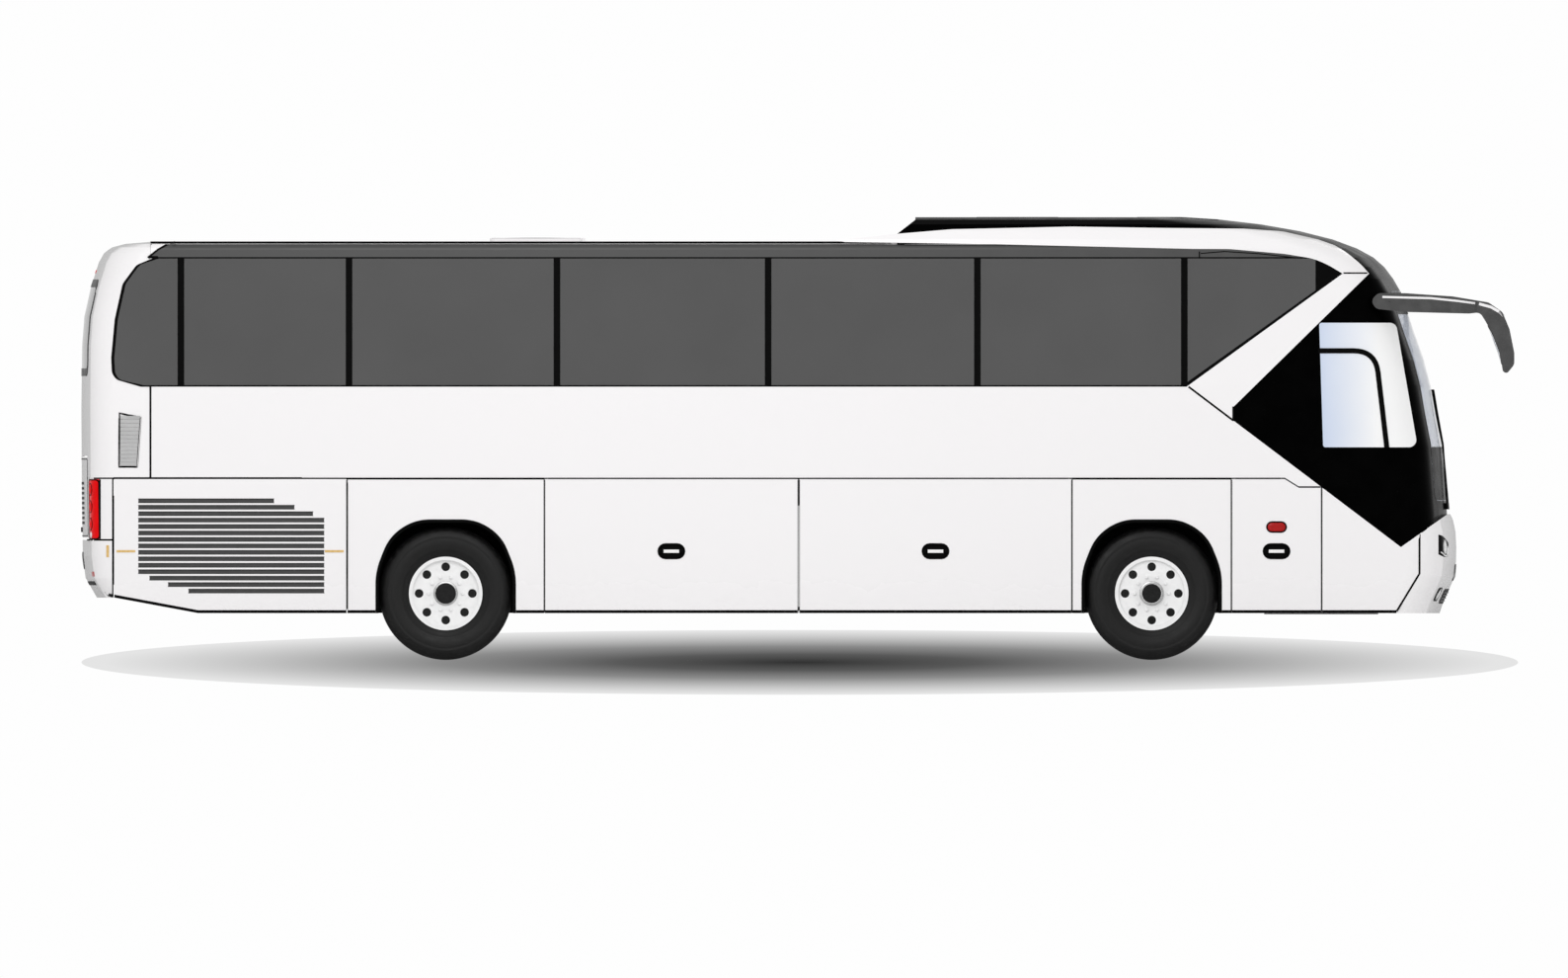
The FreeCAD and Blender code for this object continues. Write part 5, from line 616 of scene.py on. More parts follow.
def build_tyre(name, centre, body, node):
    half = SIDEWALL + TREAD
    profile = [(u, r, 0.498 < r < 0.534 and abs(u) > 0.10) for u, r in half]
    profile += [(-u, r, notched) for u, r, notched in reversed(profile)]
    tyre = Piece()
    tyre.loops([[wheel_point(centre, r - NOTCH_DEPTH if notched and i % NOTCH_EVERY == 0 else r, a, u)
                 for u, r, notched in profile] for i, a in enumerate(circle(TYRE_SEGMENTS))], closed=True)
    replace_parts(tyre.finish(name, TYRE, body), node)


def sector_edge(turn):
    """How far a cover's sector reaches from its hand hole's centre, at a turn from the outward line."""
    slope = math.tan(math.pi / HAND_HOLES)
    c, s = math.cos(turn), math.sin(turn)
    reach = [-HAND_CIRCLE_R * c + math.sqrt(COVER_OUT_R ** 2 - (HAND_CIRCLE_R * s) ** 2)]
    under = COVER_IN_R ** 2 - (HAND_CIRCLE_R * s) ** 2
    if c < 0 and under > 0:
        reach.append(-HAND_CIRCLE_R * c - math.sqrt(under))
    if abs(s) - slope * c > 1e-9:
        reach.append(slope * HAND_CIRCLE_R / (abs(s) - slope * c))
    return min(reach)


def cover_plate(centre, side, face):
    """A round plate with a ring of hand holes, built sector by sector."""
    plate, found = Piece(), {}
    step = 2 * math.pi / HAND_HOLES
    corners = [math.atan2(r * math.sin(step / 2), r * math.cos(step / 2) - HAND_CIRCLE_R)
               for r in (COVER_IN_R, COVER_OUT_R)]
    turns = sorted([a - math.pi for a in circle(32)] + corners + [-t for t in corners])

    def vert(r, t, around, u):
        x, y = HAND_CIRCLE_R + r * math.cos(t), r * math.sin(t)
        p = wheel_point(centre, math.hypot(x, y), around + math.atan2(y, x), side * u)
        key = tuple(round(c * 20000) for c in p)
        if key not in found:
            found[key] = plate.bm.verts.new(p)
        return found[key]

    for k in range(HAND_HOLES):
        rings = []
        for turn in turns:
            edge = sector_edge(turn)
            rings.append([vert(r, turn, k * step, u) for r, u in (
                (edge, face), (HAND_HOLE_R + 0.004, face), (HAND_HOLE_R, face - 0.004),
                (HAND_HOLE_R, face - COVER_T), (edge, face - COVER_T))])
        for a, b in zip(rings, rings[1:] + rings[:1]):
            for i in range(4):
                plate.bm.faces.new((a[i], b[i], b[i + 1], a[i + 1]))
            ends = [math.hypot(v.co.x - centre[0], v.co.z - centre[2]) for v in (a[0], b[0])]
            if any(all(abs(d - r) < 1e-4 for d in ends) for r in (COVER_OUT_R, COVER_IN_R)):
                plate.bm.faces.new((a[4], b[4], b[0], a[0]))
    return plate


def build_hub(name, centre, side, body, face, cap_length, root):
    """The hub's black cover, its pale ring and the ring of nuts round it on the disc."""
    axis, cap = (0, side, 0), face + cap_length
    Piece().turned(((root, CAP_R + 0.0015), (cap - 0.004, CAP_R + 0.0015), (cap + 0.002, CAP_R - 0.006),
                    (cap + 0.003, CAP_R * 0.55), (cap + 0.001, 0.0)),
                   centre, axis, 64).finish(name + "_cover", HUB_BLACK, body)
    Piece().turned(((face + 0.001, CAP_R + 0.018), (face + 0.010, CAP_R + 0.014), (face + 0.012, CAP_R + 0.006),
                    (face + 0.012, CAP_R + 0.001)), centre, axis, 64).finish(name + "_ring", STEEL, body)
    nuts = Piece()
    for a in circle(WHEEL_NUTS, 0.5):
        nuts.turned(((face - 0.001, 0.019), (face + 0.003, 0.019), (face + 0.004, 0.0145), (face + 0.020, 0.0145),
                     (face + 0.023, 0.011), (face + 0.023, 0.0)), wheel_point(centre, NUT_CIRCLE_R, a), axis, 6)
    nuts.finish(name + "_nuts", WHEEL_WHITE, body, smooth=False)


def build_wheels():
    for name, s in SIDES:
        front, outer, inner = wheel_centres(s)
        front_body, rear_body = "front_wheel_" + name, "rear_wheels_" + name
        build_tyre("front_tyre_tread_" + name, front, front_body, "front_tyre_" + name)
        build_tyre("rear_outer_tread_" + name, outer, rear_body, "rear_tyres_" + name)
        build_tyre("rear_inner_tread_" + name, inner, rear_body, "rear_tyres_" + name)
        build_hub("front_hub_" + name, front, s, front_body, FRONT_DISC, 0.052, 0.114)
        build_hub("rear_hub_" + name, outer, s, rear_body, REAR_DISC, 0.036, 0.040)
        cover_plate(outer, s, REAR_DISC).finish("rear_wheel_" + name + "_cover_plate", WHEEL_WHITE, rear_body)
        lining = ((REAR_DISC - 0.030, 0.262), (REAR_DISC - 0.026, 0.266), (REAR_DISC - 0.022, 0.262))
        Piece().turned(lining, outer, (0, s, 0), 64).finish("rear_wheel_" + name + "_cover_lining", HUB_BLACK,
                                                            rear_body)


# Side trim

OUTSIDE = (PAINT, ROOF_BLACK, COVE_GREY, SIDE_GLASS, CLEAR_GLASS, CAB_GLASS, RED_LENS)
BODY_SKIN = Skin([name for material in OUTSIDE for name in nodes_of(material)] + ["window_frames"])
MIRROR_SKIN = Skin(["mirrors"])

REAR_CORNER_X, REAR_CAP_X = -5.545, -5.245
REAR_PANEL_X0, REAR_PANEL_X1 = -3.650, -2.056
FRONT_PANEL_X0, FRONT_PANEL_X1, LEFT_PANEL_X1 = 2.224, 3.510, 3.778
BAY_SPLIT_X = 0.007
SERVICE_X1 = 4.247
MASK_X0, MASK_X1, MASK_FOOT_Z = 3.150, 4.886, 0.913
ARCH_CLEAR = 0.57
TRIM_W, EDGE_W, JOINT_STRIP_W = 0.016, 0.024, 0.003
EDGE_MID_Z = SKIRT_Z + 0.001 + EDGE_W / 2
FLAP_INSET, FIXED_INSET = 0.0065, 0.0005
HANDLE_Z, OVAL_LAMP_Z = 0.880, 1.076
HINGE_R = 0.0057

FLAPS = (("luggage_flap_rear_", REAR_PANEL_X1, BAY_SPLIT_X), ("luggage_flap_front_", BAY_SPLIT_X, FRONT_PANEL_X0))


def mask_line_z(x):
    return SILL_Z + (MASK_FOOT_Z - SILL_Z) / (MASK_X1 - MASK_X0) * (x - MASK_X0)


def arch_path(axle_x):
    half, flat, knee, reach, foot, crown_z = 0.556, 0.44, 0.82, 0.80, 0.32, 1.125
    rear = [(axle_x - half, SKIRT_Z), (axle_x - half, WHEEL_Z + half * foot),
            (axle_x - half * reach, WHEEL_Z + half * knee), (axle_x - half * flat, crown_z)]
    return rounded_path(rear + [(2 * axle_x - x, z) for x, z in reversed(rear)], half, count=10)


def joint_strip(piece, x, top_z):
    piece.upright(x, SKIRT_Z + EDGE_W, top_z, JOINT_STRIP_W, 0.001, 0.001, step=0.5)


def side_trim(name, s):
    """Rubber edges and joint strips of one side."""
    at = BODY_SKIN.side(s)
    panel_x1 = FRONT_PANEL_X1 if s == RIGHT else LEFT_PANEL_X1
    seams = Piece(at)
    for x in (REAR_AXLE_X, FRONT_AXLE_X):
        seams.ribbon(arch_path(x), 0.026, 0.003, 0.010, step=0.04)
    for x0, x1 in ((REAR_PANEL_X0 + FIXED_INSET, REAR_AXLE_X - ARCH_CLEAR),
                   (REAR_AXLE_X + ARCH_CLEAR, REAR_PANEL_X1), (FRONT_PANEL_X0, FRONT_AXLE_X - ARCH_CLEAR),
                   (FRONT_AXLE_X + ARCH_CLEAR, panel_x1)):
        seams.level(x0, x1, EDGE_MID_Z, EDGE_W)
    for x0, x1 in ((REAR_CORNER_X, REAR_PANEL_X1), (FRONT_PANEL_X0, panel_x1)):
        seams.block((x0, s * (HALF_W - 0.001), BELT_Z - 0.009), (x1, s * (HALF_W - 0.022), BELT_Z + 0.0055), 0.001)
        seams.level(x0, x1, BELT_Z + 0.0075, 0.004, 0.001, 0.001, step=0.5)
    seams.upright(REAR_CAP_X, BELT_Z + 0.008, SILL_Z - 0.012, TRIM_W)
    slant = at_px((149.7, 260.9), (160.0, 252.6), (170.7, 246.6), (177.4, 244.9))
    seams.ribbon(slant, TRIM_W, 0.003, 0.003, step=0.03)
    seams.ribbon(at_px((150.6, 260.4), (160.0, 260.4)), 0.020, 0.003, 0.003, step=0.02)
    seams.ribbon(at_px((172.0, 246.4)) + [(0.70, 3.371)], 0.012, 0.0015, 0.002, step=0.4)
    joints = [(REAR_PANEL_X0, 1), (REAR_PANEL_X1, -1), (FRONT_PANEL_X0, 1)]
    joints += [(FRONT_PANEL_X1, -1), (SERVICE_X1, 1)] if s == RIGHT else []
    for x, way in joints:
        joint_strip(seams, x + way * (FIXED_INSET + JOINT_STRIP_W / 2), BELT_Z - 0.010)
    seams.level(REAR_CAP_X, MASK_X0, SILL_Z - 0.005, 0.012, 0.0012, 0.001, step=0.5)
    seams.finish("side_seams_" + name, TRIM_BLACK)
    corner = at_px((152.6, 258.2), (152.6, 246.2), (170.5, 246.2), (160.0, 251.8))
    Piece(at).patch(corner, 0.0015, 0.002, 3, step=0.02).finish("cove_end_" + name, PAINT)

    # Dark seals deep in the joints between flaps, and sleeves over the hinge beads.
    seals = Piece()
    xs = [REAR_PANEL_X1 + 0.003, BAY_SPLIT_X, FRONT_PANEL_X0 - 0.003]
    spans = [(REAR_PANEL_X1, FRONT_PANEL_X0)]
    if s == RIGHT:
        xs += [FRONT_PANEL_X1 + 0.003, SERVICE_X1 - 0.003]
        spans.append((FRONT_PANEL_X1, 3.945))
    for x in xs:
        seals.block((x - 0.0030, s * (HALF_W - 0.006), SKIRT_Z + 0.004),
                    (x + 0.0030, s * (HALF_W - 0.034), BELT_Z - 0.010), 0.0005)
    for x0, x1 in spans:
        seals.turned(((0.0, HINGE_R), (x1 - x0 - 0.062, HINGE_R)), (x0 + 0.031, s * HALF_W, BELT_Z), (1, 0, 0), 12)
    seals.turned(((0.0, HINGE_R), (1.024, HINGE_R)), (REAR_PANEL_X0, s * HALF_W, SKIRT_Z + 0.032), (0, 0, 1), 12)
    seals.finish("joint_seals_" + name, RUBBER)


def flap_trim(node, s, x0, x1):
    """The rubber along a flap's edges, and its handle: a black pocket with a pale pull bar."""
    edge = Piece(BODY_SKIN.side(s)).level(x0 + FLAP_INSET, x1 - FLAP_INSET, EDGE_MID_Z, EDGE_W)
    inset = FLAP_INSET + JOINT_STRIP_W / 2
    for x in (x0 + inset, x1 - inset):
        joint_strip(edge, x, BELT_Z - 0.014)
    edge.finish(node + "_edge", TRIM_BLACK, node)
    x, y = (x0 + x1) / 2, s * HALF_W
    pocket = Piece().recess(s, pill(x, HANDLE_Z, 0.226, 0.130), pill(x, HANDLE_Z, 0.206, 0.110), -0.002, -0.020)
    for way in (-1, 1):
        pocket.block((x + way * 0.062, y + s * 0.002, 0.864), (x + way * 0.112, y - s * 0.014, 0.896), 0.004)
    pocket.finish(node + "_handle_surround", TRIM_BLACK, node)
    pull = Piece().block((x - 0.0615, y + s * 0.004, 0.872), (x + 0.0615, y - s * 0.013, 0.889), 0.005)
    pull.finish(node + "_handle_pull", WHEEL_WHITE, node, "white_paint")


def build_oval_lamp(x):
    z = OVAL_LAMP_Z
    Piece().recess(RIGHT, pill(x, z, 0.170, 0.094), pill(x, z, 0.148, 0.072), -0.003, -0.007).finish(
        "oval_lamp_rim", TRIM_BLACK, "service_flap")
    lens = Piece()
    lens.loops([[(x + (u - x) * scale, -HALF_W + inward, z + (v - z) * scale) for u, v in pill(x, z, 0.146, 0.070)]
                for scale, inward in ((1.0, 0.006), (0.99, -0.001), (0.90, -0.004), (0.6, -0.0055), (0.25, -0.006))])
    lens.finish("oval_lamp_lens", RED_DARK, "service_flap")


def build_side_trim():
    for name, s in SIDES:
        side_trim(name, s)
        for flap, x0, x1 in FLAPS:
            flap_trim(flap + name, s, x0, x1)
    flap_trim("service_flap", RIGHT, FRONT_PANEL_X1, SERVICE_X1)
    build_oval_lamp((FRONT_PANEL_X1 + SERVICE_X1) / 2)


# Cab, front and rear

MASK_STEP_X, CORNER_X = 3.528, 4.851
LOUVRES, LOUVRE_PITCH, LOUVRE_X0, LOUVRE_X1 = 15, 0.0522, -5.343, -3.838
LOUVRE_CUTS = (0.27, 0.16, 0.06)
LAMPS = ((0.985, 0.915, 0.050), (0.880, 0.880, 0.036))
FOG_Y, FOG_Z = 0.86, 0.53
TAIL_Y, TAIL_ZS = 1.105, (1.10, 1.24, 1.38)


def build_cab_trim():
    for name, s in SIDES:
        seams = Piece(BODY_SKIN.side(s))
        seams.ribbon([(5.037, 1.020), (5.037, 0.699), (CORNER_X, 0.392)], TRIM_W)
        seams.level(CORNER_X, SERVICE_X1 + FIXED_INSET if s == RIGHT else 4.706, EDGE_MID_Z, EDGE_W)
        if s == RIGHT:
            step_z = mask_line_z(MASK_STEP_X)
            seams.ribbon([(3.166, 2.212), (MASK_STEP_X, step_z)], TRIM_W)
            seams.upright(MASK_STEP_X, step_z - 0.004, 2.052, TRIM_W)
            seams.level(4.062, 4.235, 1.400, 0.012)
        seams.ribbon(at_px((1360.5, 276.4), (1385.0, 276.4)), 0.012, step=0.02)
        seams.ribbon(at_px((1214.7, 254.6), (1214.7, 261.0)), 0.010)
        seams.ribbon(at_px((1216.0, 256.6), (1240.0, 254.6), (1275.0, 256.8), (1318.0, 261.5)), 0.008, step=0.03)
        seams.finish("cab_seams_" + name, TRIM_BLACK)
    slide = rounded_path(at_px((1335, 355.1), (1393, 355.1), (1404.5, 453)), 0.20, count=8)
    Piece(BODY_SKIN.side(RIGHT)).ribbon(slide, 0.042, 0.004, 0.004, step=0.03).finish(
        "driver_slide_frame", TRIM_BLACK)


def build_mirror_trim():
    # A strip of white paint along the top of each mirror arm and head is a painted highlight.
    arm = at_px((1400, 300.6), (1449, 301.8), (1476, 304.6), (1494, 307.0))
    head = at_px((1498, 307.6), (1510, 310.8), (1518, 315.4), (1523, 320.0))
    for name, s in SIDES:
        strip = Piece(MIRROR_SKIN.side(s)).ribbon(arm, 0.017, 0.003, 0.002, step=0.06)
        strip.ribbon(head, 0.022, 0.003, 0.002, step=0.06).finish("mirror_highlight_strip_" + name, PAINT)
        glass, bezel = Piece(MIRROR_SKIN.rear), Piece(MIRROR_SKIN.rear)
        glass.patch(rect_path(s * 1.385, s * 1.145, 2.400, 2.700, 0.045), 0.006, 0.003, 4, crown=0.014)
        glass.finish("mirror_glass_" + name, MIRROR_FACE)
        bezel.ribbon(rect_path(s * 1.388, s * 1.142, 2.397, 2.703, 0.047), 0.008, 0.004, 0.003, closed=True)
        bezel.finish("mirror_bezel_" + name, TRIM_BLACK)


def build_engine_sides():
    for name, s in SIDES:
        at = BODY_SKIN.side(s)
        door = "engine_door_" + name

        y0, y1 = s * (HALF_W - 0.019), s * (HALF_W - 0.024)
        screen = Piece().block((-5.36, y0, 0.50), (-3.82, y1, 1.325), 0.001)
        for i in range(31):
            x = -5.34 + i * 0.05
            screen.block((x, y0 + s * 0.003, 0.505), (x + 0.004, y0, 1.32))
        screen.finish("louvre_screen_" + name, COVE_GREY, door, smooth=False)

        width = LOUVRE_X1 - LOUVRE_X0
        rims = Piece(at)
        for i in range(LOUVRES):
            z = 1.304 - i * LOUVRE_PITCH - 0.031
            front = LOUVRE_CUTS[i] if i < 3 else 0.0
            rear = LOUVRE_CUTS[LOUVRES - 1 - i] if i > LOUVRES - 4 else 0.0
            a, b = LOUVRE_X0 + rear * width, LOUVRE_X1 - front * width
            for v in (z - 0.0015, z + 0.0325):
                rims.level(a - 0.003, b + 0.003, v, 0.003, 0.0008, 0.0008, step=2.0)
        rims.finish("louvre_rims_" + name, TRIM_BLACK, door)

        markers = Piece(at)
        for px0, px1 in ((118, 137), (329, 348)):
            markers.ribbon(at_px((px0, 558), (px1, 558)), 0.018, 0.004)
        markers.finish("side_markers_" + name, AMBER, door)
        Piece(at).ribbon(at_px((109, 552), (109, 564)), 0.022, 0.004).finish("corner_marker_" + name, AMBER)

        door_x1 = REAR_PANEL_X0 - FLAP_INSET
        edge = Piece(at).ribbon([(-5.5385, 0.517), (-4.860, 0.391), (door_x1, 0.391)], EDGE_W)
        joint_strip(edge, door_x1 - JOINT_STRIP_W / 2, BELT_Z - 0.014)
        edge.finish(door + "_edge", TRIM_BLACK, door)

        outline = at_px((121, 418.5), (142.5, 422.5), (139, 472.5), (120.5, 472.5))
        Piece(at).ribbon(outline, 0.014, 0.003, closed=True).finish("vent_frame_" + name, TRIM_BLACK)
        vent = Piece(at)
        for i in range(13):
            v = 1.585 + i * 0.0315
            vent.level(-5.490, -5.360 + (v - 1.56) / 0.41 * 0.030, v, 0.027, 0.009, 0.001)
        vent.finish("vent_slats_" + name, VENT_GREY)

        seams = Piece(at).upright(REAR_CORNER_X - 0.005, 0.512, BELT_Z, 0.012)
        seams.level(REAR_CORNER_X, -5.760, 0.972, 0.014, step=0.02)
        seams.level(REAR_CORNER_X, -5.760, BELT_Z + 0.001, 0.012, step=0.02)
        seams.upright(-5.655, 0.980, 1.462, 0.014)
        seams.ribbon([(REAR_CORNER_X, 0.515), (-5.70, 0.561)], EDGE_W)
        seams.tube([(REAR_CAP_X + i * 0.5, s * 1.203, 3.380) for i in range(13)], 0.009, 8)
        seams.finish("rear_seams_" + name, TRIM_BLACK)


def build_front():
    at = BODY_SKIN.front
    bands = Piece(at)
    for z0, z1 in ((2.80, 2.981), (1.294, 1.725)):
        bands.patch(rect_path(-0.952, 0.952, z0, z1, 0.06), 0.0012, 0.001, 5)
    for s in BOTH:
        bands.upright(s * 0.944, 1.65, 2.85, 0.022, 0.0012, 0.001)
    bands.finish("windscreen_border", ROOF_BLACK)

    intakes = Piece(at).patch(rect_path(-0.62, 0.62, 0.455, 0.575, 0.035))
    for y in (-FOG_Y, FOG_Y):
        intakes.patch(rect_path(y - 0.10, y + 0.10, 0.475, 0.585, 0.045), rings=3)
    intakes.patch(rect_path(-0.275, 0.275, 0.640, 0.775, 0.012), 0.004, rings=2).finish("front_intakes", TRIM_BLACK)

    slats = Piece(at)
    for z in (0.478, 0.500, 0.522, 0.544):
        slats.level(-0.60, 0.60, z, 0.009, 0.008)
    slats.finish("front_intake_slats", PLASTIC)
    Piece(at).patch(rect_path(-0.26, 0.26, 0.652, 0.763, 0.010), 0.007, 0.002, 2).finish(
        "front_blank_plate", PLASTIC_PALE)

    for name, s in SIDES:
        lamps = Piece(at).discs([(s * y, z, r) for y, z, r in LAMPS], 0.004, 0.004, 4, crown=0.010)
        lamps.discs([(s * FOG_Y, FOG_Z, 0.036)], 0.004, 0.004, 4, crown=0.008)
        lamps.ribbon([(s * 0.84, 0.842), (s * 1.00, 0.846), (s * 1.10, 0.872)], 0.010, 0.005)
        lamps.finish("front_lamps_" + name, LAMP_CLEAR)
        rings = [(s * y, z, r + 0.004) for y, z, r in LAMPS] + [(s * FOG_Y, FOG_Z, 0.041)]
        Piece(at).rings(rings, 0.008, 0.007).finish("front_lamp_rings_" + name, STEEL, slot="clear_lens")


def build_rear():
    at = BODY_SKIN.rear
    for name, s in SIDES:
        Piece(at).discs([(s * TAIL_Y, z, 0.046) for z in TAIL_ZS], 0.003, 0.003, 4, crown=0.008).finish(
            "tail_modules_" + name, RED_LENS)
        borders = Piece(at).rings([(s * TAIL_Y, z, 0.050) for z in TAIL_ZS], 0.006, 0.003)
        borders.ribbon(rect_path(s * 1.014, s * 1.235, 0.980, 1.458, 0.03), 0.010, 0.003, closed=True)
        borders.level(s * 1.10, s * 1.24, 0.972, 0.012).finish("tail_borders_" + name, TRIM_BLACK)
        Piece(at).patch(rect_path(s * 1.02, s * 1.14, 0.675, 0.715, 0.012), 0.004, 0.002, 3).finish(
            "rear_reflector_" + name, RED_DARK)
        Piece(at).discs([(s * 1.115, 1.012, 0.026)], 0.003, 0.003, 3, crown=0.005).finish(
            "reverse_lamp_" + name, LAMP_CLEAR)

    Piece(at).ribbon(rect_path(-0.930, 0.930, 2.330, 3.050, 0.10), 0.062, 0.0032, closed=True, step=0.03).finish(
        "rear_window_border", ROOF_BLACK)
    Piece(at).patch(rect_path(-0.22, 0.22, 3.130, 3.158, 0.010), 0.004, rings=2).finish("high_stop_lamp", RED_LENS)

    louvres = Piece(at)
    for i in range(9):
        louvres.level(-0.56, 0.56, 1.110 + i * 0.040, 0.022, 0.002)
    louvres.ribbon(rect_path(-0.915, 0.915, 1.005, 1.626, 0.04), 0.008, 0.0030, closed=True, step=0.03)
    louvres.finish("lid_louvres", TRIM_BLACK, "engine_lid")
    Piece(at).patch(rect_path(-0.11, 0.11, 1.035, 1.075, 0.018), 0.012, 0.002, 3).finish(
        "lid_grip", TRIM_BLACK, "engine_lid")

    strip = Piece(at)
    for s in BOTH:
        strip.level(s * 1.0, s * 0.100, 0.620, 0.030, 0.004)
    strip.patch(rect_path(-0.280, 0.280, 0.735, 0.875, 0.012), 0.004, rings=2)
    strip.finish("rear_bumper_strip", TRIM_BLACK)
    Piece(at).patch(rect_path(-0.26, 0.26, 0.750, 0.860, 0.010), 0.007, 0.002, 2).finish(
        "rear_blank_plate", PLASTIC_PALE)


def build_roof():
    at = BODY_SKIN.top
    ribs = Piece(at)
    for y in (-0.90, -0.55, 0.55, 0.90):
        ribs.level(-5.05, 0.70, y, 0.030, 0.006, step=0.4)
    ribs.finish("roof_ribs", PAINT)

    hatch = Piece(at).ribbon(rect_path(-2.470, -1.770, -0.300, 0.300, 0.05), 0.020, 0.002, closed=True)
    hatch.patch(rect_path(-2.400, -1.840, -0.230, 0.230, 0.05), 0.0015, 0.002, 3, crown=0.003)
    hatch.finish("hatch_rim", PLASTIC, "roof_hatch")

    vents = Piece(at)
    for x in (1.45, 2.75):
        for y in (-0.78, 0.35):
            vents.patch(rect_path(x, x + 0.66, y, y + 0.43, 0.04), 0.0020, 0.002, 5)
    vents.finish("pod_vents", TRIM_BLACK)


# Cabin

SEAT_PITCH, SEAT_FRONT_X, SEAT_FLOOR_Z = 0.790, 2.960, 1.370
SEAT_XS = [SEAT_FRONT_X - i * SEAT_PITCH for i in range(10)]
SEAT_LEAN = math.atan(0.150 / 0.690)
SEAT_MIDDLES, SEAT_W, DRIVER_SEAT_W = (0.538, 0.952), 0.412, 0.500
DRIVER_X, DRIVER_Y, CAB_FLOOR_Z = 4.150, -0.600, 1.060


def add_seat_pads(seat, x, y, floor_z, width):
    """Cushion, side bolsters, back, wings and head pillow of one seat."""
    seat_z, out = floor_z + 0.372, width / 2 - 0.036
    seat.pad((x - 0.225, y, seat_z), (0.440, width - 0.100, 0.115), 0.03, 0.014, 0.032,
             grooves=((0, 0.30, 0.006), (0, -0.45, 0.006)))
    for s in (-1, 1):
        seat.pad((x - 0.230, y + s * out, seat_z + 0.012), (0.430, 0.070, 0.125), 0.03, 0.008, 0.030, 4)
    middle = Vector((x - 0.405 - 0.070, y, floor_z + 0.700))
    up = Vector((-math.sin(SEAT_LEAN), 0, math.cos(SEAT_LEAN)))
    seat.pad(middle, (0.090, width - 0.110, 0.560), SEAT_LEAN, 0.014, 0.032, 8,
             grooves=((2, -0.35, 0.007), (2, 0.25, 0.007)))
    for s in (-1, 1):
        seat.pad(middle + Vector((0.012, s * out, 0)), (0.105, 0.066, 0.540), SEAT_LEAN, 0.007, 0.028, 4)
    seat.pad(middle + up * 0.365, (0.095, width - 0.120, 0.160), SEAT_LEAN, 0.012, 0.036, 5,
             grooves=((1, -0.55, 0.005), (1, 0.55, 0.005)))


def add_seat_frame(frames, x, y0, y1, floor_z):
    """Legs, cross rails, back shells and tables of a double seat."""
    low, high = min(y0, y1), max(y0, y1)
    for y in (low + 0.20, high - 0.20):
        frames.block((x - 0.330, y - 0.022, floor_z + 0.003), (x - 0.140, y + 0.022, floor_z + 0.018), 0.003)
        for foot, head in ((0.300, 0.250), (0.160, 0.210)):
            frames.tube([(x - foot, y, floor_z + 0.015), (x - head, y, floor_z + 0.300)], 0.020, 8)
    for dx in (0.120, 0.340):
        frames.tube([(x - dx, low + 0.015, floor_z + 0.298), (x - dx, high - 0.015, floor_z + 0.298)], 0.015, 8)
    wide = (high - low) / 2
    for mid in (low + wide * 0.5, low + wide * 1.5):
        back = Vector((x - 0.475 - 0.055, mid, floor_z + 0.700))
        frames.pad(back, (0.026, wide - 0.030, 0.800), SEAT_LEAN, 0.010, 0.012, 4)
        frames.pad(back + Vector((-0.016, 0, 0.02)), (0.016, wide - 0.120, 0.230), SEAT_LEAN, 0.0, 0.006, 2)


def build_seats():
    for name, s in SIDES:
        pads, frames, arms, grips = Piece(), Piece(), Piece(), Piece()
        for x in SEAT_XS:
            for y in SEAT_MIDDLES:
                add_seat_pads(pads, x, s * y, SEAT_FLOOR_Z, SEAT_W)
            add_seat_frame(frames, x, s * 0.332, s * 1.158, SEAT_FLOOR_Z)
            for y in (s * 0.350, s * 0.745, s * 1.140):
                arms.pad((x - 0.230, y, SEAT_FLOOR_Z + 0.600), (0.330, 0.040, 0.040), 0.0, 0.004, 0.016, 3)
                arms.block((x - 0.400, y - 0.012, SEAT_FLOOR_Z + 0.560),
                           (x - 0.360, y + 0.012, SEAT_FLOOR_Z + 0.625), 0.006)
            back_x, top_z = x - 0.640, SEAT_FLOOR_Z + 1.090
            grips.tube([(back_x + dx, s * y, top_z - drop) for dx, y, drop in (
                (0.04, 0.350, 0.10), (0.012, 0.350, 0.02), (0.004, 0.365, 0.0), (0.004, 0.430, 0.0),
                (0.012, 0.445, 0.02), (0.04, 0.445, 0.10))], 0.010, 8)
        seats = pads.finish("seat_pads_" + name, CLOTH)
        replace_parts(seats, "passenger_seats")
        frames.finish("seat_frames_" + name, PLASTIC)
        arms.finish("arm_rests_" + name, TRIM_BLACK)
        grips.finish("seat_grips_" + name, YELLOW)


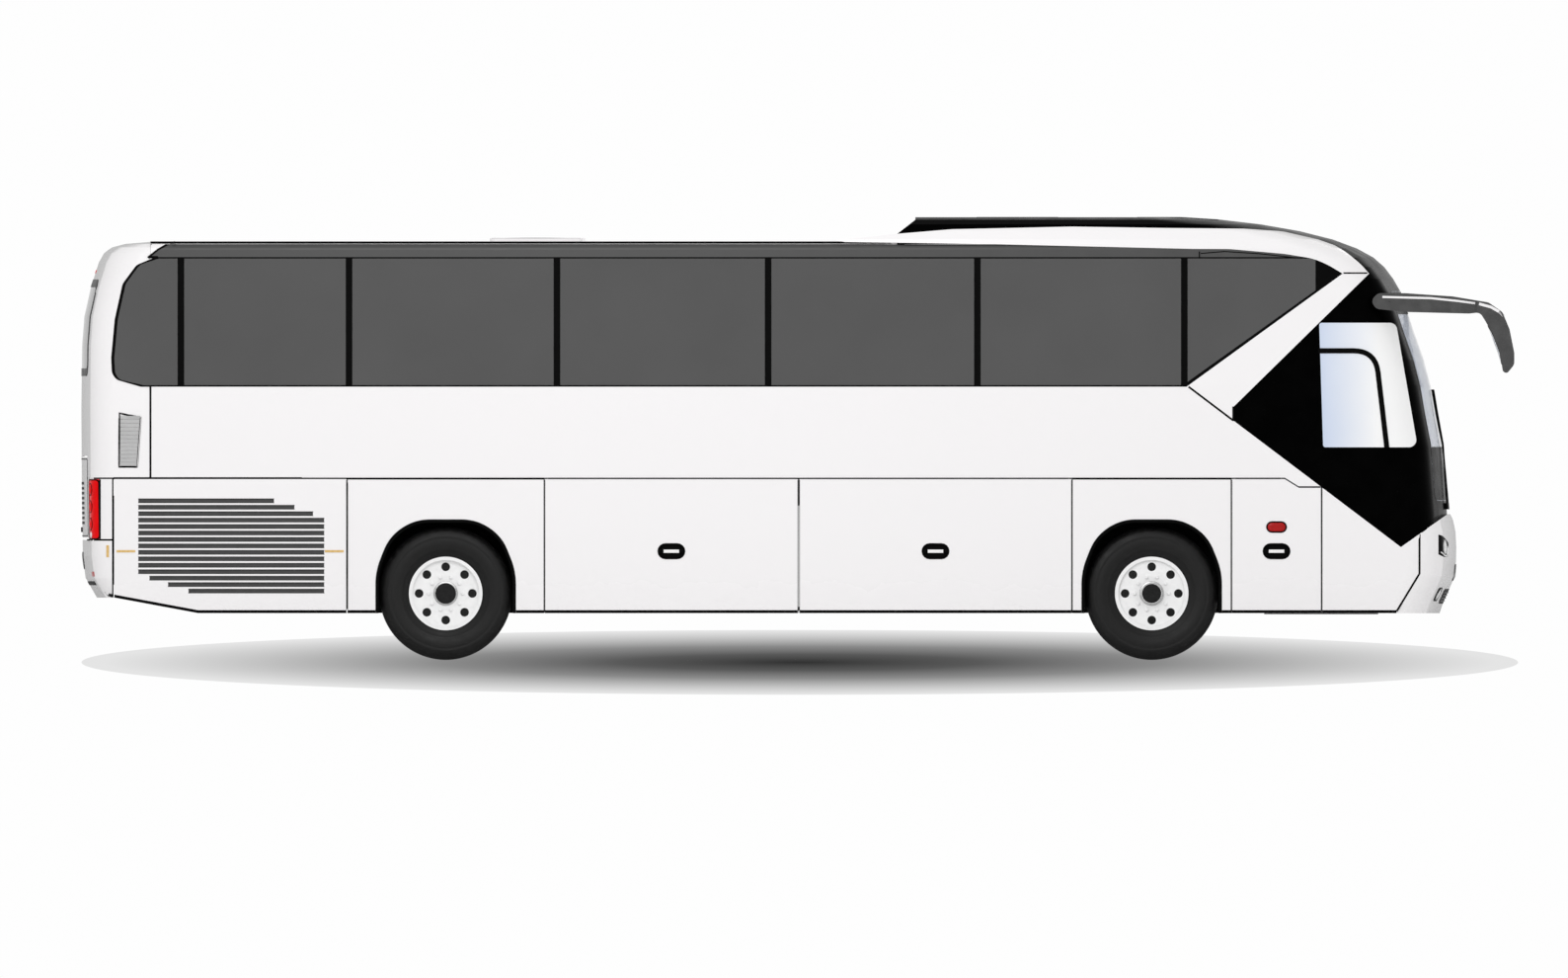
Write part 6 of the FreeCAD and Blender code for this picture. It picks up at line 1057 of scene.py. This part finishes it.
def build_driver_place():
    pads = Piece()
    add_seat_pads(pads, DRIVER_X, DRIVER_Y, CAB_FLOOR_Z, DRIVER_SEAT_W)
    seat = pads.finish("driver_seat_pads", CLOTH)
    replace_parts(seat, "driver_seat")

    x, y, z = DRIVER_X - 0.230, DRIVER_Y, CAB_FLOOR_Z
    base = Piece()
    for z0, z1 in ((0.003, 0.040), (0.275, 0.305)):
        base.block((x - 0.20, y - 0.20, z + z0), (x + 0.20, y + 0.20, z + z1), 0.008)
    for k in range(5):
        base.pad((x, y, z + 0.070 + k * 0.044), (0.330, 0.330, 0.042), 0.0, 0.0, 0.018, 3)
    base.pad((x - 0.320, y, z + 0.700), (0.026, 0.480, 0.800), SEAT_LEAN, 0.010, 0.012, 4)
    base.finish("driver_seat_base", TRIM_BLACK)
    arms = Piece()
    for s in (-1, 1):
        arms.pad((x, y + s * 0.285, z + 0.600), (0.340, 0.055, 0.050), 0.0, 0.004, 0.020, 3)
    arms.finish("driver_arm_rests", TRIM_BLACK)

    hood = ((4.655, 1.560), (4.660, 1.640), (4.700, 1.690), (4.800, 1.690), (4.830, 1.640), (4.830, 1.560))
    dash = Piece()
    dash.loops([[(u, y + across, v - drop) for u, v in hood] for across, drop in (
        (-0.330, 0.05), (-0.300, 0.01), (0.0, 0.0), (0.300, 0.01), (0.330, 0.05))])
    dash.block((4.625, 0.10, 1.360), (4.665, -0.20, 1.500), 0.006).finish("instrument_hood", PLASTIC)

    dials = Piece()
    for dy, dz, r in ((-0.120, 1.620, 0.055), (0.0, 1.620, 0.055), (0.120, 1.620, 0.055), (-0.060, 1.575, 0.026),
                      (0.060, 1.575, 0.026)):
        dials.turned(((-0.006, r), (-0.010, r), (-0.010, r * 0.9), (-0.007, r * 0.88), (-0.007, 0.0)),
                     (4.656, y + dy, dz), (1, 0, 0))
    dials.finish("instrument_dials", LAMP_CLEAR)

    switches = Piece()
    for i in range(8):
        at_y = 0.085 - i * 0.036
        for low_z in (1.385, 1.445):
            switches.block((4.618, at_y - 0.014, low_z), (4.628, at_y + 0.014, low_z + 0.025), 0.002)
    switches.finish("dash_switches", TRIM_BLACK)

    axis = Vector((-0.62, 0, 1)).normalized()
    Piece().turned(((-0.020, 0.050), (0.006, 0.058), (0.016, 0.050), (0.020, 0.030), (0.021, 0.0)),
                   Vector((4.640, y, 1.420)) + axis * 0.260, axis, 36).finish("horn_pad", PLASTIC)


def build_handrails():
    rails = Piece()
    rails.tube([(4.700, 0.10, 1.62), (4.700, 0.10, 1.90), (4.660, 0.16, 1.96), (4.600, 0.30, 1.96)], 0.015)
    for x in (3.800, 4.660):
        rails.tube([(x, 0.150, 1.065), (x, 0.150, 1.950)], 0.016)
    rails.tube([(3.545, y, z) for y, z in ((0.40, 1.375), (0.40, 2.200), (0.46, 2.260), (1.10, 2.260))], 0.016)
    rails.finish("handrails", STEEL)

    lights = Piece()
    for s in BOTH:
        for i in range(13):
            x = -4.90 + i * 0.44
            lights.block((x, s * 0.86, 3.258), (x + 0.30, s * 0.93, 3.262), 0.001)
    lights.finish("rack_lights", LAMP_CLEAR)


# Underside

EXHAUST_Y, TANK_YS, TANK_Z, TANK_STRAP_R = -0.585, (0.62, 0.90), 0.640, 0.119
TANK = ((0.0, 0.0), (0.010, 0.070), (0.040, 0.108), (0.070, 0.115), (0.630, 0.115), (0.660, 0.108), (0.690, 0.070),
        (0.700, 0.0))
FLYWHEEL = ((0.0, 0.0), (0.0, 0.20), (0.035, 0.22), (0.075, 0.22), (0.085, 0.19), (0.085, 0.0))
BRAKE_BORE_R = 0.120


def shield_profile(u, r):
    return (u, 0.262), (u + 0.006, 0.262), (u + 0.008, 0.250), (u + 0.008, r), (u, r)


def drum_profile(back, neck_r, r, first, pitch, count, last, face):
    """A ribbed brake drum, from its back to its face."""
    ribs = [(back, BRAKE_BORE_R), (back, neck_r)]
    for u in (first + i * pitch for i in range(count)):
        ribs += [(u, r), (u + 0.008, r), (u + 0.010, r - 0.010), (u + pitch - 0.002, r - 0.010)]
    return ribs + [(last, r), (face, r - 0.020), (face, BRAKE_BORE_R)]


def build_brakes(name, s):
    front, outer, inner = wheel_centres(s)
    for end, centre, body, iron, shield, drum in (
            ("front", front, "front_wheel_", HUB_BLACK, (0.062, 0.122),
             (-0.062, 0.196, 0.220, -0.060, 0.020, 5, 0.042, 0.060)),
            ("rear", inner, "rear_wheels_", CAST, (0.100, 0.116),
             (-0.118, 0.200, 0.224, -0.114, 0.022, 9, 0.086, 0.098))):
        Piece().turned(shield_profile(*shield), centre, (0, s, 0), 72).finish(
            end + "_hub_shield_" + name, HUB_BLACK, body + name)
        Piece().turned(drum_profile(*drum), centre, (0, s, 0), 72).finish(
            end + "_brake_drum_" + name, iron, body + name, "iron")


def build_running_gear():
    for name, s in SIDES:
        build_brakes(name, s)

    splash, bellows, dampers = Piece(), Piece(), Piece()
    for s in BOTH:
        for x in (REAR_AXLE_X, FRONT_AXLE_X):
            for way in (-1, 1):
                splash.pad((x + way * 0.560, s * 0.500, 0.560), (0.230, 0.008, 0.360), 0.0, 0.0, 0.003, 2)
            splash.pad((x - 0.600, s * 1.060, 0.560), (0.008, 0.290, 0.350), 0.0, 0.0, 0.003, 2)
        for x, z0 in ((FRONT_AXLE_X, 0.450), (REAR_AXLE_X - 0.420, 0.458), (REAR_AXLE_X + 0.420, 0.458)):
            for share, r in ((0.02, 0.080), (0.5, 0.077), (0.98, 0.080)):
                ring = ring_path(x, s * 0.465, r, 32)
                bellows.tube([(u, v, z0 + (0.700 - z0) * share) for u, v in ring + ring[:1]], 0.007, 8)
        for x in (FRONT_AXLE_X - 0.19, REAR_AXLE_X - 0.24):
            dampers.tube([(x, s * 0.385, 0.420), (x, s * 0.385, 0.600)], 0.032, 14)
            dampers.tube([(x, s * 0.385, 0.595), (x, s * 0.385, 0.720)], 0.018, 12)
    splash.finish("splash_sheets", RUBBER)

    shaft = Piece()
    for x0, z0, x1, z1, r in ((-3.420, 0.745, -3.360, 0.735, 0.075), (-3.370, 0.736, -3.060, 0.600, 0.045),
                              (-3.085, 0.612, -3.030, 0.585, 0.070)):
        shaft.tube([(x0, 0, z0), (x1, 0, z1)], r, 20)
    shaft.finish("drive_shaft", STEEL, slot="iron")

    y = EXHAUST_Y
    exhaust = Piece().tube([(x, y, 0.640) for x in (-5.300, -5.285, -4.515, -4.500)], 0.120, 28)
    exhaust.tube([(-5.240, y, 0.620), (-5.300, -0.600, 0.600), (-5.420, -0.680, 0.590), (-5.450, -0.820, 0.585),
                  (-5.450, -0.940, 0.580)], 0.042, 14)
    exhaust.tube([(-4.500, y, 0.660), (-4.420, y, 0.680), (-4.360, -0.480, 0.720)], 0.050, 14)
    exhaust.finish("exhaust", CAST)

    tanks, straps = Piece(), Piece()
    for y in TANK_YS:
        tanks.turned(TANK, (-4.70, y, TANK_Z), (1, 0, 0))
    tanks.finish("air_tanks", CHASSIS)
    for x in (-4.56, -4.14):
        for y in TANK_YS:
            ring = ring_path(y, TANK_Z, TANK_STRAP_R)
            straps.tube([(x, u, v) for u, v in ring + ring[:1]], 0.012, 6, flat=0.4)
        straps.block((x - 0.020, 0.495, 0.752), (x + 0.020, 1.02, 0.768), 0.002)
    straps.finish("tank_straps", STEEL, slot="frame")
    bellows.finish("bellow_rings", CHASSIS, slot="rubber")
    dampers.finish("dampers", CAST)

    engine = Piece()
    for x in (-5.20 + i * 0.20 for i in range(6)):
        engine.block((x - 0.075, -0.30, 1.280), (x + 0.075, 0.30, 1.318), 0.010)
        engine.block((x - 0.060, 0.430, 0.900), (x + 0.060, 0.475, 1.060), 0.008)
    engine.block((-5.36, -0.34, 0.470), (-4.10, 0.34, 0.500), 0.008)
    engine.turned(FLYWHEEL, (-5.405, 0.0, 0.80), (-1, 0, 0), 40).finish("engine_details", CAST)


build_stage()
build_shadow()
build_camera()
paint_nodes()
build_wheels()
build_side_trim()
build_cab_trim()
build_mirror_trim()
build_engine_sides()
build_front()
build_rear()
build_roof()
build_seats()
build_driver_place()
build_handrails()
build_running_gear()
